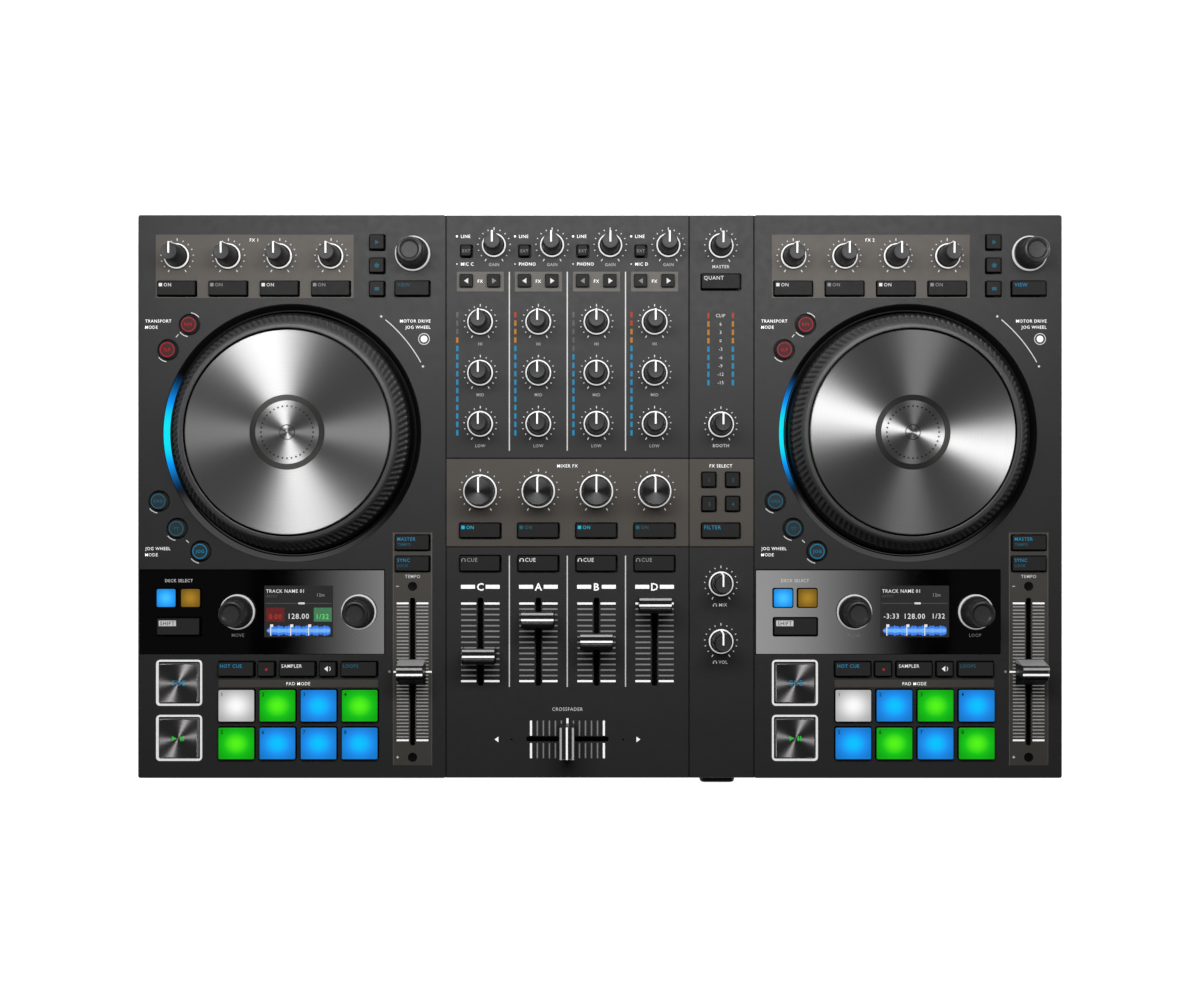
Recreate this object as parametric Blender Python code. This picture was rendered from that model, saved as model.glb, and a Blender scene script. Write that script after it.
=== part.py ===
"""A four-channel DJ controller with two motorised jog wheels.

Three equal sections stand side by side: a deck, the mixer, and a second deck
that repeats the first. Lengths are in millimetres here and become metres when
a mesh is made. X runs to the right, Y to the rear, and Z up from the surface
that the feet stand on. Layout places are measured from the centre of the top
panel, and deck places have X measured from the centre of their own deck.
"""
import math

import bmesh
import bpy

MM = 0.001

# ---- driving dimensions -------------------------------------------------
PANEL_WIDTH = 525.0
PANEL_DEPTH = 320.0
PANEL_TOP = 41.0
PANEL_THICK = 2.5
SECTION = PANEL_WIDTH / 3
CORNER_RADIUS = 2.0
GAP = 0.3                       # clearance between two pieces that meet
KEY_GAP = 0.4                   # clearance round a key in its opening
FOOT_HEIGHT = 4.0
WALL = 2.5
NOSE_DEPTH = 2.8                # how far the phones socket stands out in front
Y_SHIFT = NOSE_DEPTH / 2        # centres the bounding box on the origin

PANEL_UNDER = PANEL_TOP - PANEL_THICK
CASE_TOP = PANEL_UNDER - GAP
BOARD_TOP = 34.6
BOARD_THICK = 1.6
DECKS = {"left": -SECTION, "right": SECTION}

# ---- deck layout (x from the deck's centre, y from the panel's centre) --
JOG_Y = 36.0
WELL_RADIUS = 73.3
WELL_LEDGE_RADIUS = 68.6
WELL_LEDGE_DROP = 3.5
WELL_FLOOR = 32.5
WELL_WALL = 1.8
WELL_SIDES = 40
RIM_RADIUS = 67.8
PLATE_RADIUS = 57.5
JOG_TOP = PANEL_TOP + 12.0
HUB_RADIUS = 9.0
MOTOR_RADIUS = 38.0
MOTOR_TOP = 28.0

FX_PITCH = 29.15
FX_X = [-65.2 + FX_PITCH * i for i in range(4)]
FX_KNOB_Y = 136.4
FX_KEY_Y = 118.0
FX_KEY = (22.2, 8.8)
BROWSE = (68.7, 137.9)
MOVE = (-30.7, -65.5)
LOOP = (38.2, -65.5)
SMALL_KEY = (8.7, 8.7)
SMALL_KEY_SPOTS = [(48.5, 117.8 + 13.2 * i) for i in range(3)]
VIEW_KEY = (68.5, 118.0, 19.8, 8.7)
ROUND_KEY_RADIUS = 4.7
ROUND_KEY_ORBIT = 84.8
ROUND_KEY_ANGLES = (133.4, 146.1, 207.1, 219.7, 232.3)
GLASS = (-86.5, 52.5, -89.6, -41.8)          # x0, x1, y0, y1
GLASS_THICK = 1.2
POCKET_DEPTH = 1.5
DECK_KEYS = [(-71.1, -57.6, 11.0, 10.5), (-57.3, -57.6, 11.0, 10.5), (-64.0, -74.0, 24.9, 10.2)]
TRANSPORT_X = -64.2
TRANSPORT_Y = (-105.9, -137.2)
TRANSPORT_KEY = (21.6, 21.5)
MODE_Y = -98.1
MODE_KEYS = [(-31.4, 20.8), (-14.2, 10.0), (3.4, 20.8), (20.7, 10.0), (38.3, 20.8)]
MODE_KEY_DEPTH = 8.6
PAD = (20.6, 18.2)
PAD_PITCH = 23.33
PAD_X = [-31.3 + PAD_PITCH * i for i in range(4)]
PAD_Y = (-118.7, -140.1)
SYNC_KEYS = [(68.6, -26.3, 19.8, 9.0), (68.6, -38.3, 19.8, 9.0)]
TEMPO_X = 68.5
TEMPO_Y = -99.6
TEMPO_SLOT = 84.0

# ---- mixer layout -------------------------------------------------------
CHANNEL_PITCH = 33.0
CHANNEL_X = [-68.0 + CHANNEL_PITCH * i for i in range(4)]
CHANNEL_NAMES = ("c", "a", "b", "d")
TONE_Y = {"high": 99.1, "mid": 70.2, "low": 41.2}
GAIN_OFFSET = 7.8
GAIN_Y = 142.6
INPUT_KEY = (-7.8, 139.3, 6.5, 6.8)          # x from the channel's centre
ASSIGN_KEY = (8.1, 8.1)
ASSIGN_OFFSETS = (-7.7, 7.8)
ASSIGN_Y = 122.3
MIXER_FX_Y = 3.0
MIXER_FX_KEY = (23.5, 8.6)
MIXER_FX_KEY_Y = -19.5
CUE_KEY = (23.2, 9.1)
CUE_KEY_Y = -38.2
SIDE_X = 68.7                                # the column of master controls
SIDE_KNOBS = {"master": 142.3, "booth": 40.9, "cue_mix": -49.5, "cue_volume": -82.2}
QUANT_KEY = (SIDE_X, 121.8, 22.3, 9.0)
FILTER_KEY = (SIDE_X, MIXER_FX_KEY_Y, 21.9, 8.6)
SELECT_KEYS = [(SIDE_X + dx, y, 8.1, 8.6) for y in (9.4, -4.3) for dx in (-6.8, 6.7)]
FADER_SLOT = (-107.8, -57.7)
FADER_REST = {"c": -89.5, "a": -69.0, "b": -81.1, "d": -60.8}
CROSS = (-18.5, -138.0)
CROSS_SLOT = 46.7
SLOT_WIDTH = 2.9

# ---- pieces that stand on the panel -------------------------------------
SHAFT_RADIUS = 3.0
SHAFT_HOLE = 3.9
KNOB_SIDES = 12
HOLE_SIDES = 6
SHAFT_BOTTOM = BOARD_TOP + GAP
KNOB_BASE = PANEL_TOP + 0.6
SKIRT = 2.4                                   # height of a knob's sloped skirt
KEY_TOP = PANEL_TOP + 1.6
WEB = (36.6, 37.8)                            # the key mat's sheet, z range

# ---- case ---------------------------------------------------------------
CASE_X = PANEL_WIDTH / 2 - 1.5
CASE_FRONT = -PANEL_DEPTH / 2 + 1.0
CASE_REAR = PANEL_DEPTH / 2 - 7.0             # the panel overhangs the sockets
CHAMFER = 8.0
CHAMFER_TOP = 14.0
FLOOR_TOP = FOOT_HEIGHT + WALL
FOOT_RADIUS = 12.0
FOOT_SPOTS = [(x, y) for x in (-225.0, 225.0) for y in (-125.0, 115.0)]
POST_SPOTS = [(x, y) for x in (-85.0, 85.0) for y in (-115.0, 0.0, 115.0)]
REAR_WINDOW = (-190.0, 190.0, 11.0, 33.0)     # x0, x1, z0, z1
SOCKET_Z = 22.0
JACK_BORE = 3.4
PHONES_X = (62.5, 72.6)
PHONES_BORES = (JACK_BORE, 1.8)
PHONES_TUBE = 22.0


# ---- mesh helpers -------------------------------------------------------
def rectangle(x0, x1, y0, y1):
    return [(x0, y0), (x1, y0), (x1, y1), (x0, y1)]


def centred(x, y, width, depth, grow=0.0):
    """The outline of a rectangle about (x, y), grown by `grow` on each side."""
    half_w = width / 2 + grow
    half_d = depth / 2 + grow
    return rectangle(x - half_w, x + half_w, y - half_d, y + half_d)


def circle(x, y, radius, sides):
    steps = [2 * math.pi * (i + 0.5) / sides for i in range(sides)]
    return [(x + radius * math.cos(a), y + radius * math.sin(a)) for a in steps]


def rounded_rectangle(half_w, half_d, radius, steps=3):
    points = []
    for quarter, (sx, sy) in enumerate([(1, 1), (-1, 1), (-1, -1), (1, -1)]):
        for i in range(steps + 1):
            angle = math.pi / 2 * (quarter + i / steps)
            points.append((sx * (half_w - radius) + radius * math.cos(angle),
                           sy * (half_d - radius) + radius * math.sin(angle)))
    return points


def add_loft(bm, levels):
    """Close a solid over several outlines of equal length, each with its height."""
    rings = [[bm.verts.new((x, y, z)) for x, y in outline] for outline, z in levels]
    count = len(rings[0])
    for low, high in zip(rings, rings[1:]):
        for i in range(count):
            j = (i + 1) % count
            bm.faces.new((low[i], low[j], high[j], high[i]))
    bm.faces.new(list(reversed(rings[0])))
    bm.faces.new(rings[-1])


def add_prism(bm, outline, z0, z1):
    add_loft(bm, [(outline, z0), (outline, z1)])


def add_turned(bm, profile, sides, closed=False):
    """Turn a profile of (radius, z) points, outer side upwards, about the Z axis.

    An open profile is capped flat at both ends; a closed one makes a ring.
    """
    rings = []
    for radius, z in profile:
        rings.append([bm.verts.new((x, y, z)) for x, y in circle(0, 0, radius, sides)])
    pairs = list(zip(rings, rings[1:]))
    if closed:
        pairs.append((rings[-1], rings[0]))
    for low, high in pairs:
        for i in range(sides):
            j = (i + 1) % sides
            bm.faces.new((low[i], low[j], high[j], high[i]))
    if not closed:
        bm.faces.new(list(reversed(rings[0])))
        bm.faces.new(rings[-1])


def moved(bm, x=0.0, y=0.0):
    bmesh.ops.translate(bm, verts=bm.verts, vec=(x, y, 0))
    return bm


def along_y(bm, x, z, y):
    """Lay a solid built up the Z axis along +Y, starting from (x, y, z)."""
    for vert in bm.verts:
        old = vert.co.copy()
        vert.co = (x + old.x, y + old.z, z - old.y)
    return bm


def make_mesh(name, bm):
    bmesh.ops.scale(bm, vec=(MM, MM, MM), verts=bm.verts)
    bmesh.ops.recalc_face_normals(bm, faces=bm.faces)
    mesh = bpy.data.meshes.new(name)
    bm.to_mesh(mesh)
    bm.free()
    return mesh


def make_object(name, bm, finish, x=0.0, y=0.0):
    """A named object with its origin at (x, y) of the panel, on the ground plane."""
    colour, roughness, metallic = finish
    mesh = make_mesh(name, bm)
    material = bpy.data.materials.new(name + "_finish")
    material.use_nodes = True
    shader = material.node_tree.nodes["Principled BSDF"]
    shader.inputs["Base Color"].default_value = (*colour, 1.0)
    shader.inputs["Roughness"].default_value = roughness
    shader.inputs["Metallic"].default_value = metallic
    mesh.materials.append(material)
    obj = bpy.data.objects.new(name, mesh)
    obj.location = (x * MM, (y + Y_SHIFT) * MM, 0)
    bpy.context.scene.collection.objects.link(obj)
    return obj


def combine(obj, bm, operation):
    """Add or cut away a tool solid given in the object's own coordinates."""
    tool = bpy.data.objects.new("tool", make_mesh("tool", bm))
    tool.location = obj.location
    bpy.context.scene.collection.objects.link(tool)
    modifier = obj.modifiers.new("cut", "BOOLEAN")
    modifier.operation = operation
    modifier.solver = "EXACT"
    modifier.object = tool
    graph = bpy.context.evaluated_depsgraph_get()
    result = bpy.data.meshes.new_from_object(obj.evaluated_get(graph))
    obj.modifiers.clear()
    obj.data = result
    bpy.data.objects.remove(tool)


def smooth_round(obj):
    obj.data.shade_smooth()
    obj.data.set_sharp_from_angle(angle=math.radians(35))


# ---- finishes: colour, roughness, metallic -------------------------------
PANEL_FINISH = ((0.045, 0.045, 0.045), 0.5, 0.0)
CASE_FINISH = ((0.02, 0.02, 0.02), 0.6, 0.0)
GLASS_FINISH = ((0.005, 0.005, 0.005), 0.08, 0.0)
KNOB_FINISH = ((0.03, 0.03, 0.03), 0.45, 0.0)
SPUN_FINISH = ((0.15, 0.15, 0.15), 0.35, 0.8)
PLATE_FINISH = ((0.6, 0.6, 0.6), 0.25, 1.0)
RUBBER_FINISH = ((0.012, 0.012, 0.012), 0.75, 0.0)
SILICONE_FINISH = ((0.03, 0.03, 0.03), 0.6, 0.0)
CAP_FINISH = ((0.06, 0.06, 0.06), 0.4, 0.0)
BOARD_FINISH = ((0.01, 0.05, 0.02), 0.5, 0.0)
MOTOR_FINISH = ((0.4, 0.4, 0.42), 0.35, 0.9)


# ---- where the keys, shafts and slots are --------------------------------
def round_key_spots():
    spots = []
    for angle in ROUND_KEY_ANGLES:
        spots.append((ROUND_KEY_ORBIT * math.cos(math.radians(angle)),
                      JOG_Y + ROUND_KEY_ORBIT * math.sin(math.radians(angle))))
    return spots


def deck_key_boxes():
    """Every square-cornered key of a deck as (x, y, width, depth)."""
    keys = [(x, FX_KEY_Y, *FX_KEY) for x in FX_X]
    keys += [(x, y, *SMALL_KEY) for x, y in SMALL_KEY_SPOTS]
    keys.append(VIEW_KEY)
    keys += DECK_KEYS
    keys += [(TRANSPORT_X, y, *TRANSPORT_KEY) for y in TRANSPORT_Y]
    keys += [(x, MODE_Y, width, MODE_KEY_DEPTH) for x, width in MODE_KEYS]
    keys += [(x, y, *PAD) for x in PAD_X for y in PAD_Y]
    keys += SYNC_KEYS
    return keys


def mixer_key_boxes():
    keys = [QUANT_KEY, FILTER_KEY] + SELECT_KEYS
    for x in CHANNEL_X:
        dx, y, width, depth = INPUT_KEY
        keys.append((x + dx, y, width, depth))
        keys += [(x + offset, ASSIGN_Y, *ASSIGN_KEY) for offset in ASSIGN_OFFSETS]
        keys.append((x, MIXER_FX_KEY_Y, *MIXER_FX_KEY))
        keys.append((x, CUE_KEY_Y, *CUE_KEY))
    return keys


def deck_shafts():
    return [(x, FX_KNOB_Y) for x in FX_X] + [BROWSE, MOVE, LOOP]


def mixer_shafts():
    spots = [(SIDE_X, y) for y in SIDE_KNOBS.values()]
    for x in CHANNEL_X:
        spots += [(x, y) for y in TONE_Y.values()]
        spots += [(x + GAIN_OFFSET, GAIN_Y), (x, MIXER_FX_Y)]
    return spots


# ---- the case and what it holds ------------------------------------------
def tray_outline(inset):
    x = CASE_X - inset
    return rectangle(-x, x, CASE_FRONT + inset, CASE_REAR - inset)


def build_base_case():
    bm = bmesh.new()
    add_loft(bm, [(tray_outline(CHAMFER), FOOT_HEIGHT),
                  (tray_outline(0), CHAMFER_TOP), (tray_outline(0), CASE_TOP)])
    case = make_object("base_case", bm, CASE_FINISH)

    hollow = bmesh.new()
    add_loft(hollow, [(tray_outline(CHAMFER + WALL), FLOOR_TOP),
                      (tray_outline(WALL), CHAMFER_TOP), (tray_outline(WALL), CASE_TOP + 5)])
    combine(case, hollow, "DIFFERENCE")

    extras = bmesh.new()
    for x, y in FOOT_SPOTS:
        add_prism(extras, circle(x, y, FOOT_RADIUS, 16), 0, FOOT_HEIGHT + 1)
    for x, y in POST_SPOTS:
        add_prism(extras, circle(x, y, 3.5, 8), FLOOR_TOP - 1, BOARD_TOP - BOARD_THICK - GAP)
    front = -PANEL_DEPTH / 2 - NOSE_DEPTH
    nose_x = sum(PHONES_X) / 2
    nose = []
    for inset, y in ((2.0, front), (0.0, front + 1.5), (0.0, CASE_FRONT + 1)):
        nose.append((centred(nose_x, SOCKET_Z, 20.0 - 2 * inset, 18.0 - 2 * inset), y))
    extras_nose = bmesh.new()
    add_loft(extras_nose, nose)
    for vert in extras_nose.verts:
        x, z, y = vert.co
        vert.co = (x, y, z)
    combine(case, extras, "UNION")
    combine(case, extras_nose, "UNION")
    tubes = bmesh.new()
    for x, bore in zip(PHONES_X, PHONES_BORES):
        tube = bmesh.new()
        add_prism(tube, circle(0, 0, bore + 1.5, 12), 0, PHONES_TUBE)
        merge(tubes, along_y(tube, x, SOCKET_Z, CASE_FRONT + 1))
    combine(case, tubes, "UNION")

    holes = bmesh.new()
    for x, bore in zip(PHONES_X, PHONES_BORES):
        hole = bmesh.new()
        add_prism(hole, circle(0, 0, bore, 12), -10, PHONES_TUBE + 5)
        merge(holes, along_y(hole, x, SOCKET_Z, CASE_FRONT))
    x0, x1, z0, z1 = REAR_WINDOW
    add_loft(holes, [(rectangle(x0, x1, CASE_REAR - CHAMFER, CASE_REAR + 2), z0),
                     (rectangle(x0, x1, CASE_REAR - CHAMFER, CASE_REAR + 2), z1)])
    combine(case, holes, "DIFFERENCE")
    smooth_round(case)


def merge(target, source):
    """Move every face of one bmesh into another."""
    mesh = bpy.data.meshes.new("merge")
    source.to_mesh(mesh)
    source.free()
    target.from_mesh(mesh)
    bpy.data.meshes.remove(mesh)


def build_main_board():
    bm = bmesh.new()
    margin = WALL + 2.0
    outline = rectangle(-CASE_X + margin, CASE_X - margin, CASE_FRONT + margin, CASE_REAR - margin)
    bottom = BOARD_TOP - BOARD_THICK
    add_prism(bm, outline, bottom, BOARD_TOP)
    board = make_object("main_board", bm, BOARD_FINISH)
    holes = bmesh.new()
    for x in DECKS.values():
        add_prism(holes, circle(x, JOG_Y, WELL_RADIUS + WELL_WALL + 2.0, WELL_SIDES), bottom - 1, BOARD_TOP + 1)
    combine(board, holes, "DIFFERENCE")


# sockets on the rear: (kind, x)
REAR_SOCKETS = [("round", -178.0), ("usb", -158.0),
                ("jack", -130.0), ("jack", -112.0),
                ("rca", -88.0), ("rca", -72.0),
                ("xlr", -44.0), ("xlr", -14.0),
                ("rca", 16.0), ("rca", 32.0), ("rca", 54.0), ("rca", 70.0),
                ("rca", 92.0), ("rca", 108.0),
                ("jack", 134.0), ("jack", 152.0),
                ("round", 176.0)]
BORE = {"round": JACK_BORE, "jack": JACK_BORE, "xlr": 9.5}        # the RCA pins are solid
COLLAR = {"round": 5.5, "jack": 5.6, "rca": 4.2, "xlr": 11.5}
STAND_OUT = {"round": 1.0, "jack": 2.5, "rca": 6.5, "xlr": 1.0}
BODY_DEPTH = {"round": 9.0, "jack": 20.0, "rca": 6.0, "xlr": 12.0}
USB_SIZE = (11.0, 10.0)


def build_rear_io_panel():
    """The socket plate in the rear window, with a tube or a box for each socket."""
    x0, x1, z0, z1 = REAR_WINDOW
    face = CASE_REAR - 0.5
    bm = bmesh.new()
    add_prism(bm, rectangle(x0 + GAP, x1 - GAP, face - 2, face), z0 + GAP, z1 - GAP)
    panel = make_object("rear_io_panel", bm, CASE_FINISH)
    tubes = bmesh.new()
    holes = bmesh.new()
    for kind, x in REAR_SOCKETS:
        if kind == "usb":
            half_w = USB_SIZE[0] / 2
            half_h = USB_SIZE[1] / 2
            for tool, grow, y0, y1 in ((tubes, 1.5, face - 16, face + 1), (holes, 0, face - 15, face + 3)):
                outline = rectangle(x - half_w - grow, x + half_w + grow, y0, y1)
                add_prism(tool, outline, SOCKET_Z - half_h - grow, SOCKET_Z + half_h + grow)
            continue
        sides = 14 if kind == "xlr" else 8
        depth = BODY_DEPTH[kind]
        length = depth + STAND_OUT[kind]
        collar = min(COLLAR[kind], (z1 - z0) / 2 - 0.5)
        tube = bmesh.new()
        add_prism(tube, circle(0, 0, collar, sides), 0, length)
        merge(tubes, along_y(tube, x, SOCKET_Z, face - depth))
        if kind in BORE:
            hole = bmesh.new()
            add_prism(hole, circle(0, 0, BORE[kind], sides), 1.5, length + 2)
            merge(holes, along_y(hole, x, SOCKET_Z, face - depth))
    combine(panel, tubes, "UNION")
    combine(panel, holes, "DIFFERENCE")
    smooth_round(panel)


def build_jog_motor(side, x):
    bm = bmesh.new()
    add_turned(bm, [(MOTOR_RADIUS, FLOOR_TOP + GAP), (MOTOR_RADIUS, MOTOR_TOP),
                    (8.0, MOTOR_TOP), (8.0, WELL_FLOOR + 0.7)], 24)
    motor = make_object("jog_motor_" + side, bm, MOTOR_FINISH, x, JOG_Y)
    smooth_round(motor)


# ---- the top panel and its glass ------------------------------------------
def well_profile():
    """The jog well's section: a ledge for the light ring and a floor with a hole."""
    ledge = PANEL_TOP - WELL_LEDGE_DROP
    inner = [(WELL_RADIUS, PANEL_TOP), (WELL_RADIUS, ledge), (WELL_LEDGE_RADIUS, ledge),
             (WELL_LEDGE_RADIUS, WELL_FLOOR), (HUB_RADIUS + 3, WELL_FLOOR)]
    outer = [(HUB_RADIUS + 3, WELL_FLOOR - WELL_WALL),
             (WELL_LEDGE_RADIUS + WELL_WALL, WELL_FLOOR - WELL_WALL),
             (WELL_LEDGE_RADIUS + WELL_WALL, ledge - WELL_WALL),
             (WELL_RADIUS + WELL_WALL, ledge - WELL_WALL), (WELL_RADIUS + WELL_WALL, PANEL_TOP)]
    return inner + outer


def add_slot(bm, x, y, length, width, vertical, z0, z1):
    size = (width, length) if vertical else (length, width)
    add_prism(bm, centred(x, y, *size), z0, z1)


def panel_openings():
    """All the openings of the top panel as one tool solid."""
    z0 = PANEL_UNDER - 1
    z1 = PANEL_TOP + 1
    bm = bmesh.new()
    for deck_x in DECKS.values():
        for x, y, width, depth in deck_key_boxes():
            add_prism(bm, centred(deck_x + x, y, width, depth, KEY_GAP), z0, z1)
        for x, y in round_key_spots():
            add_prism(bm, circle(deck_x + x, y, ROUND_KEY_RADIUS + KEY_GAP, 10), z0, z1)
        for x, y in deck_shafts():
            add_prism(bm, circle(deck_x + x, y, SHAFT_HOLE, HOLE_SIDES), z0, z1)
        add_slot(bm, deck_x + TEMPO_X, TEMPO_Y, TEMPO_SLOT, SLOT_WIDTH, True, z0, z1)
        add_prism(bm, circle(deck_x, JOG_Y, WELL_RADIUS + WELL_WALL / 2, WELL_SIDES), z0, z1)
    for x, y, width, depth in mixer_key_boxes():
        add_prism(bm, centred(x, y, width, depth, KEY_GAP), z0, z1)
    for x, y in mixer_shafts():
        add_prism(bm, circle(x, y, SHAFT_HOLE, HOLE_SIDES), z0, z1)
    slot_y0, slot_y1 = FADER_SLOT
    for x in CHANNEL_X:
        add_slot(bm, x, (slot_y0 + slot_y1) / 2, slot_y1 - slot_y0, SLOT_WIDTH, True, z0, z1)
    add_slot(bm, *CROSS, CROSS_SLOT, SLOT_WIDTH, False, z0, z1)
    return bm


def build_top_panel():
    bm = bmesh.new()
    outline = rounded_rectangle(PANEL_WIDTH / 2, PANEL_DEPTH / 2, CORNER_RADIUS)
    bevel = [(x * (1 - 0.6 / (PANEL_WIDTH / 2)), y * (1 - 0.6 / (PANEL_DEPTH / 2))) for x, y in outline]
    add_loft(bm, [(outline, PANEL_UNDER), (outline, PANEL_TOP - 0.6), (bevel, PANEL_TOP)])
    panel = make_object("top_panel", bm, PANEL_FINISH)
    x0, x1, y0, y1 = GLASS
    pockets = bmesh.new()
    for deck_x in DECKS.values():
        outline = rectangle(deck_x + x0 - GAP, deck_x + x1 + GAP, y0 - GAP, y1 + GAP)
        add_prism(pockets, outline, PANEL_TOP - POCKET_DEPTH, PANEL_TOP + 1)
    combine(panel, pockets, "DIFFERENCE")
    combine(panel, panel_openings(), "DIFFERENCE")
    wells = bmesh.new()
    for deck_x in DECKS.values():
        well = bmesh.new()
        add_turned(well, well_profile(), WELL_SIDES, closed=True)
        merge(wells, moved(well, deck_x, JOG_Y))
    combine(panel, wells, "UNION")
    smooth_round(panel)


def build_screen_glass(side, deck_x):
    x0, x1, y0, y1 = GLASS
    top = PANEL_TOP
    bm = bmesh.new()
    add_prism(bm, rectangle(x0, x1, y0, y1), top - GLASS_THICK, top)
    glass = make_object("screen_glass_" + side, bm, GLASS_FINISH, deck_x)
    holes = bmesh.new()
    for x, y in (MOVE, LOOP):
        add_prism(holes, circle(x, y, SHAFT_HOLE, HOLE_SIDES), top - 3, top + 1)
    for x, y, width, depth in DECK_KEYS:
        add_prism(holes, centred(x, y, width, depth, KEY_GAP), top - 3, top + 1)
    combine(glass, holes, "DIFFERENCE")


# ---- jog wheels -----------------------------------------------------------
def build_jog(side, deck_x):
    seat = JOG_TOP - 2.6
    rim = bmesh.new()
    add_turned(rim, [(RIM_RADIUS, WELL_FLOOR + 0.7), (RIM_RADIUS, PANEL_TOP + 3.0),
                     (RIM_RADIUS - 7.3, JOG_TOP), (PLATE_RADIUS + 0.8, JOG_TOP),
                     (PLATE_RADIUS + 0.8, seat), (HUB_RADIUS + 1.0, seat),
                     (HUB_RADIUS + 1.0, seat - 3.0), (RIM_RADIUS - 5.0, seat - 3.0),
                     (RIM_RADIUS - 5.0, WELL_FLOOR + 0.7)], WELL_SIDES, closed=True)
    smooth_round(make_object("jog_rim_" + side, rim, RUBBER_FINISH, deck_x, JOG_Y))
    plate = bmesh.new()
    add_turned(plate, [(HUB_RADIUS, WELL_FLOOR + 1.0), (HUB_RADIUS, seat + GAP),
                       (PLATE_RADIUS, seat + GAP), (PLATE_RADIUS, JOG_TOP - 0.4),
                       (PLATE_RADIUS - 0.4, JOG_TOP)], WELL_SIDES)
    smooth_round(make_object("jog_plate_" + side, plate, PLATE_FINISH, deck_x, JOG_Y))


# ---- knobs and encoders ----------------------------------------------------
def knob_profile(radius, waist, top_radius, height):
    """From the shaft's end on the board, round the skirt, up to the top face."""
    return [(SHAFT_RADIUS, SHAFT_BOTTOM), (SHAFT_RADIUS, KNOB_BASE), (radius, KNOB_BASE),
            (waist, KNOB_BASE + SKIRT), (top_radius, PANEL_TOP + height)]


SMALL_KNOB = knob_profile(7.5, 5.6, 4.7, 15.7)
WIDE_KNOB = knob_profile(9.6, 8.0, 7.4, 14.0)
BROWSE_KNOB = knob_profile(10.0, 8.0, 7.4, 15.0)
ENCODER = knob_profile(10.0, 8.0, 7.4, 15.0)


def build_knob(name, profile, x, y, finish=KNOB_FINISH):
    bm = bmesh.new()
    add_turned(bm, profile, KNOB_SIDES)
    smooth_round(make_object(name, bm, finish, x, y))


def build_deck_knobs(side, deck_x):
    for number, x in enumerate(FX_X, 1):
        build_knob("fx_knob_%s_%d" % (side, number), SMALL_KNOB, deck_x + x, FX_KNOB_Y)
    build_knob("browse_encoder_" + side, BROWSE_KNOB, deck_x + BROWSE[0], BROWSE[1])
    build_knob("move_encoder_" + side, ENCODER, deck_x + MOVE[0], MOVE[1])
    build_knob("loop_encoder_" + side, ENCODER, deck_x + LOOP[0], LOOP[1])


def build_mixer_knobs():
    for name, x in zip(CHANNEL_NAMES, CHANNEL_X):
        for band, y in TONE_Y.items():
            build_knob("%s_knob_%s" % (band, name), SMALL_KNOB, x, y)
        build_knob("gain_knob_" + name, SMALL_KNOB, x + GAIN_OFFSET, GAIN_Y)
        build_knob("mixer_fx_knob_" + name, WIDE_KNOB, x, MIXER_FX_Y, SPUN_FINISH)
    for name, y in SIDE_KNOBS.items():
        build_knob(name + "_knob", SMALL_KNOB, SIDE_X, y)


# ---- faders -----------------------------------------------------------------
CAP_BASE = PANEL_TOP + 1.0
CAP_HEIGHT = 14.0
STEM = (1.7, 4.4)


def build_fader(name, x, y, length, depth, top_length, top_depth, turned=False):
    """A cap with sloped sides on a flat stem; `length` lies across the travel."""
    def outline(width, breadth):
        return centred(0, 0, breadth, width) if turned else centred(0, 0, width, breadth)

    top = PANEL_TOP + CAP_HEIGHT
    bm = bmesh.new()
    add_loft(bm, [(outline(length, depth), CAP_BASE), (outline(length, depth), CAP_BASE + 3.5),
                  (outline(top_length, top_depth), top)])
    cap = make_object(name, bm, CAP_FINISH, x, y)
    stem = bmesh.new()
    add_prism(stem, outline(*STEM), SHAFT_BOTTOM + 0.5, CAP_BASE + 1.0)
    combine(cap, stem, "UNION")


def build_faders():
    for side, deck_x in DECKS.items():
        build_fader("tempo_fader_" + side, deck_x + TEMPO_X, TEMPO_Y, 15.6, 14.4, 15.0, 7.6)
    for name, x in zip(CHANNEL_NAMES, CHANNEL_X):
        build_fader("channel_fader_" + name, x, FADER_REST[name], 18.5, 10.0, 15.0, 7.5)
    build_fader("crossfader", *CROSS, 19.3, 10.0, 15.5, 7.5, turned=True)


# ---- key mats ----------------------------------------------------------------
def jog_side(angle, radius=78.0):
    """A point just outside the jog well, seen from the deck's centre."""
    return (radius * math.cos(math.radians(angle)), JOG_Y + radius * math.sin(math.radians(angle)))


DECK_WEB = ([(-82.5, 123.4), (-82.5, -151.0), (57.0, -151.0), (57.0, -43.5), (80.0, -43.5),
             (80.0, -21.0), (52.5, -21.0), (52.5, -92.5), (-38.0, -92.5)]
            + [jog_side(angle) for angle in (241, 224, 208, 192, 168, 152, 136, 128)]
            + [(-48.0, 112.6), (80.0, 112.6), (80.0, 123.4), (54.0, 123.4), (54.0, 149.5),
               (43.0, 149.5), (43.0, 123.4)])
MIXER_WEB = [(-81.0, 116.5), (43.0, 116.5), (43.0, -13.5), (-81.0, -13.5), (-81.0, -43.5),
             (81.0, -43.5), (81.0, 15.0), (55.0, 15.0), (55.0, 116.5), (81.0, 116.5),
             (81.0, 127.0)]


def mixer_web():
    """The mixer's sheet, with a tongue up to each input key."""
    outline = list(MIXER_WEB)
    for x in reversed(CHANNEL_X):
        key_x = x + INPUT_KEY[0]
        outline += [(key_x + 4.5, 127.0), (key_x + 4.5, 143.5), (key_x - 4.5, 143.5)]
        if x != CHANNEL_X[0]:
            outline.append((key_x - 4.5, 127.0))
    outline[-1] = (-81.0, 143.5)
    return outline


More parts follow.
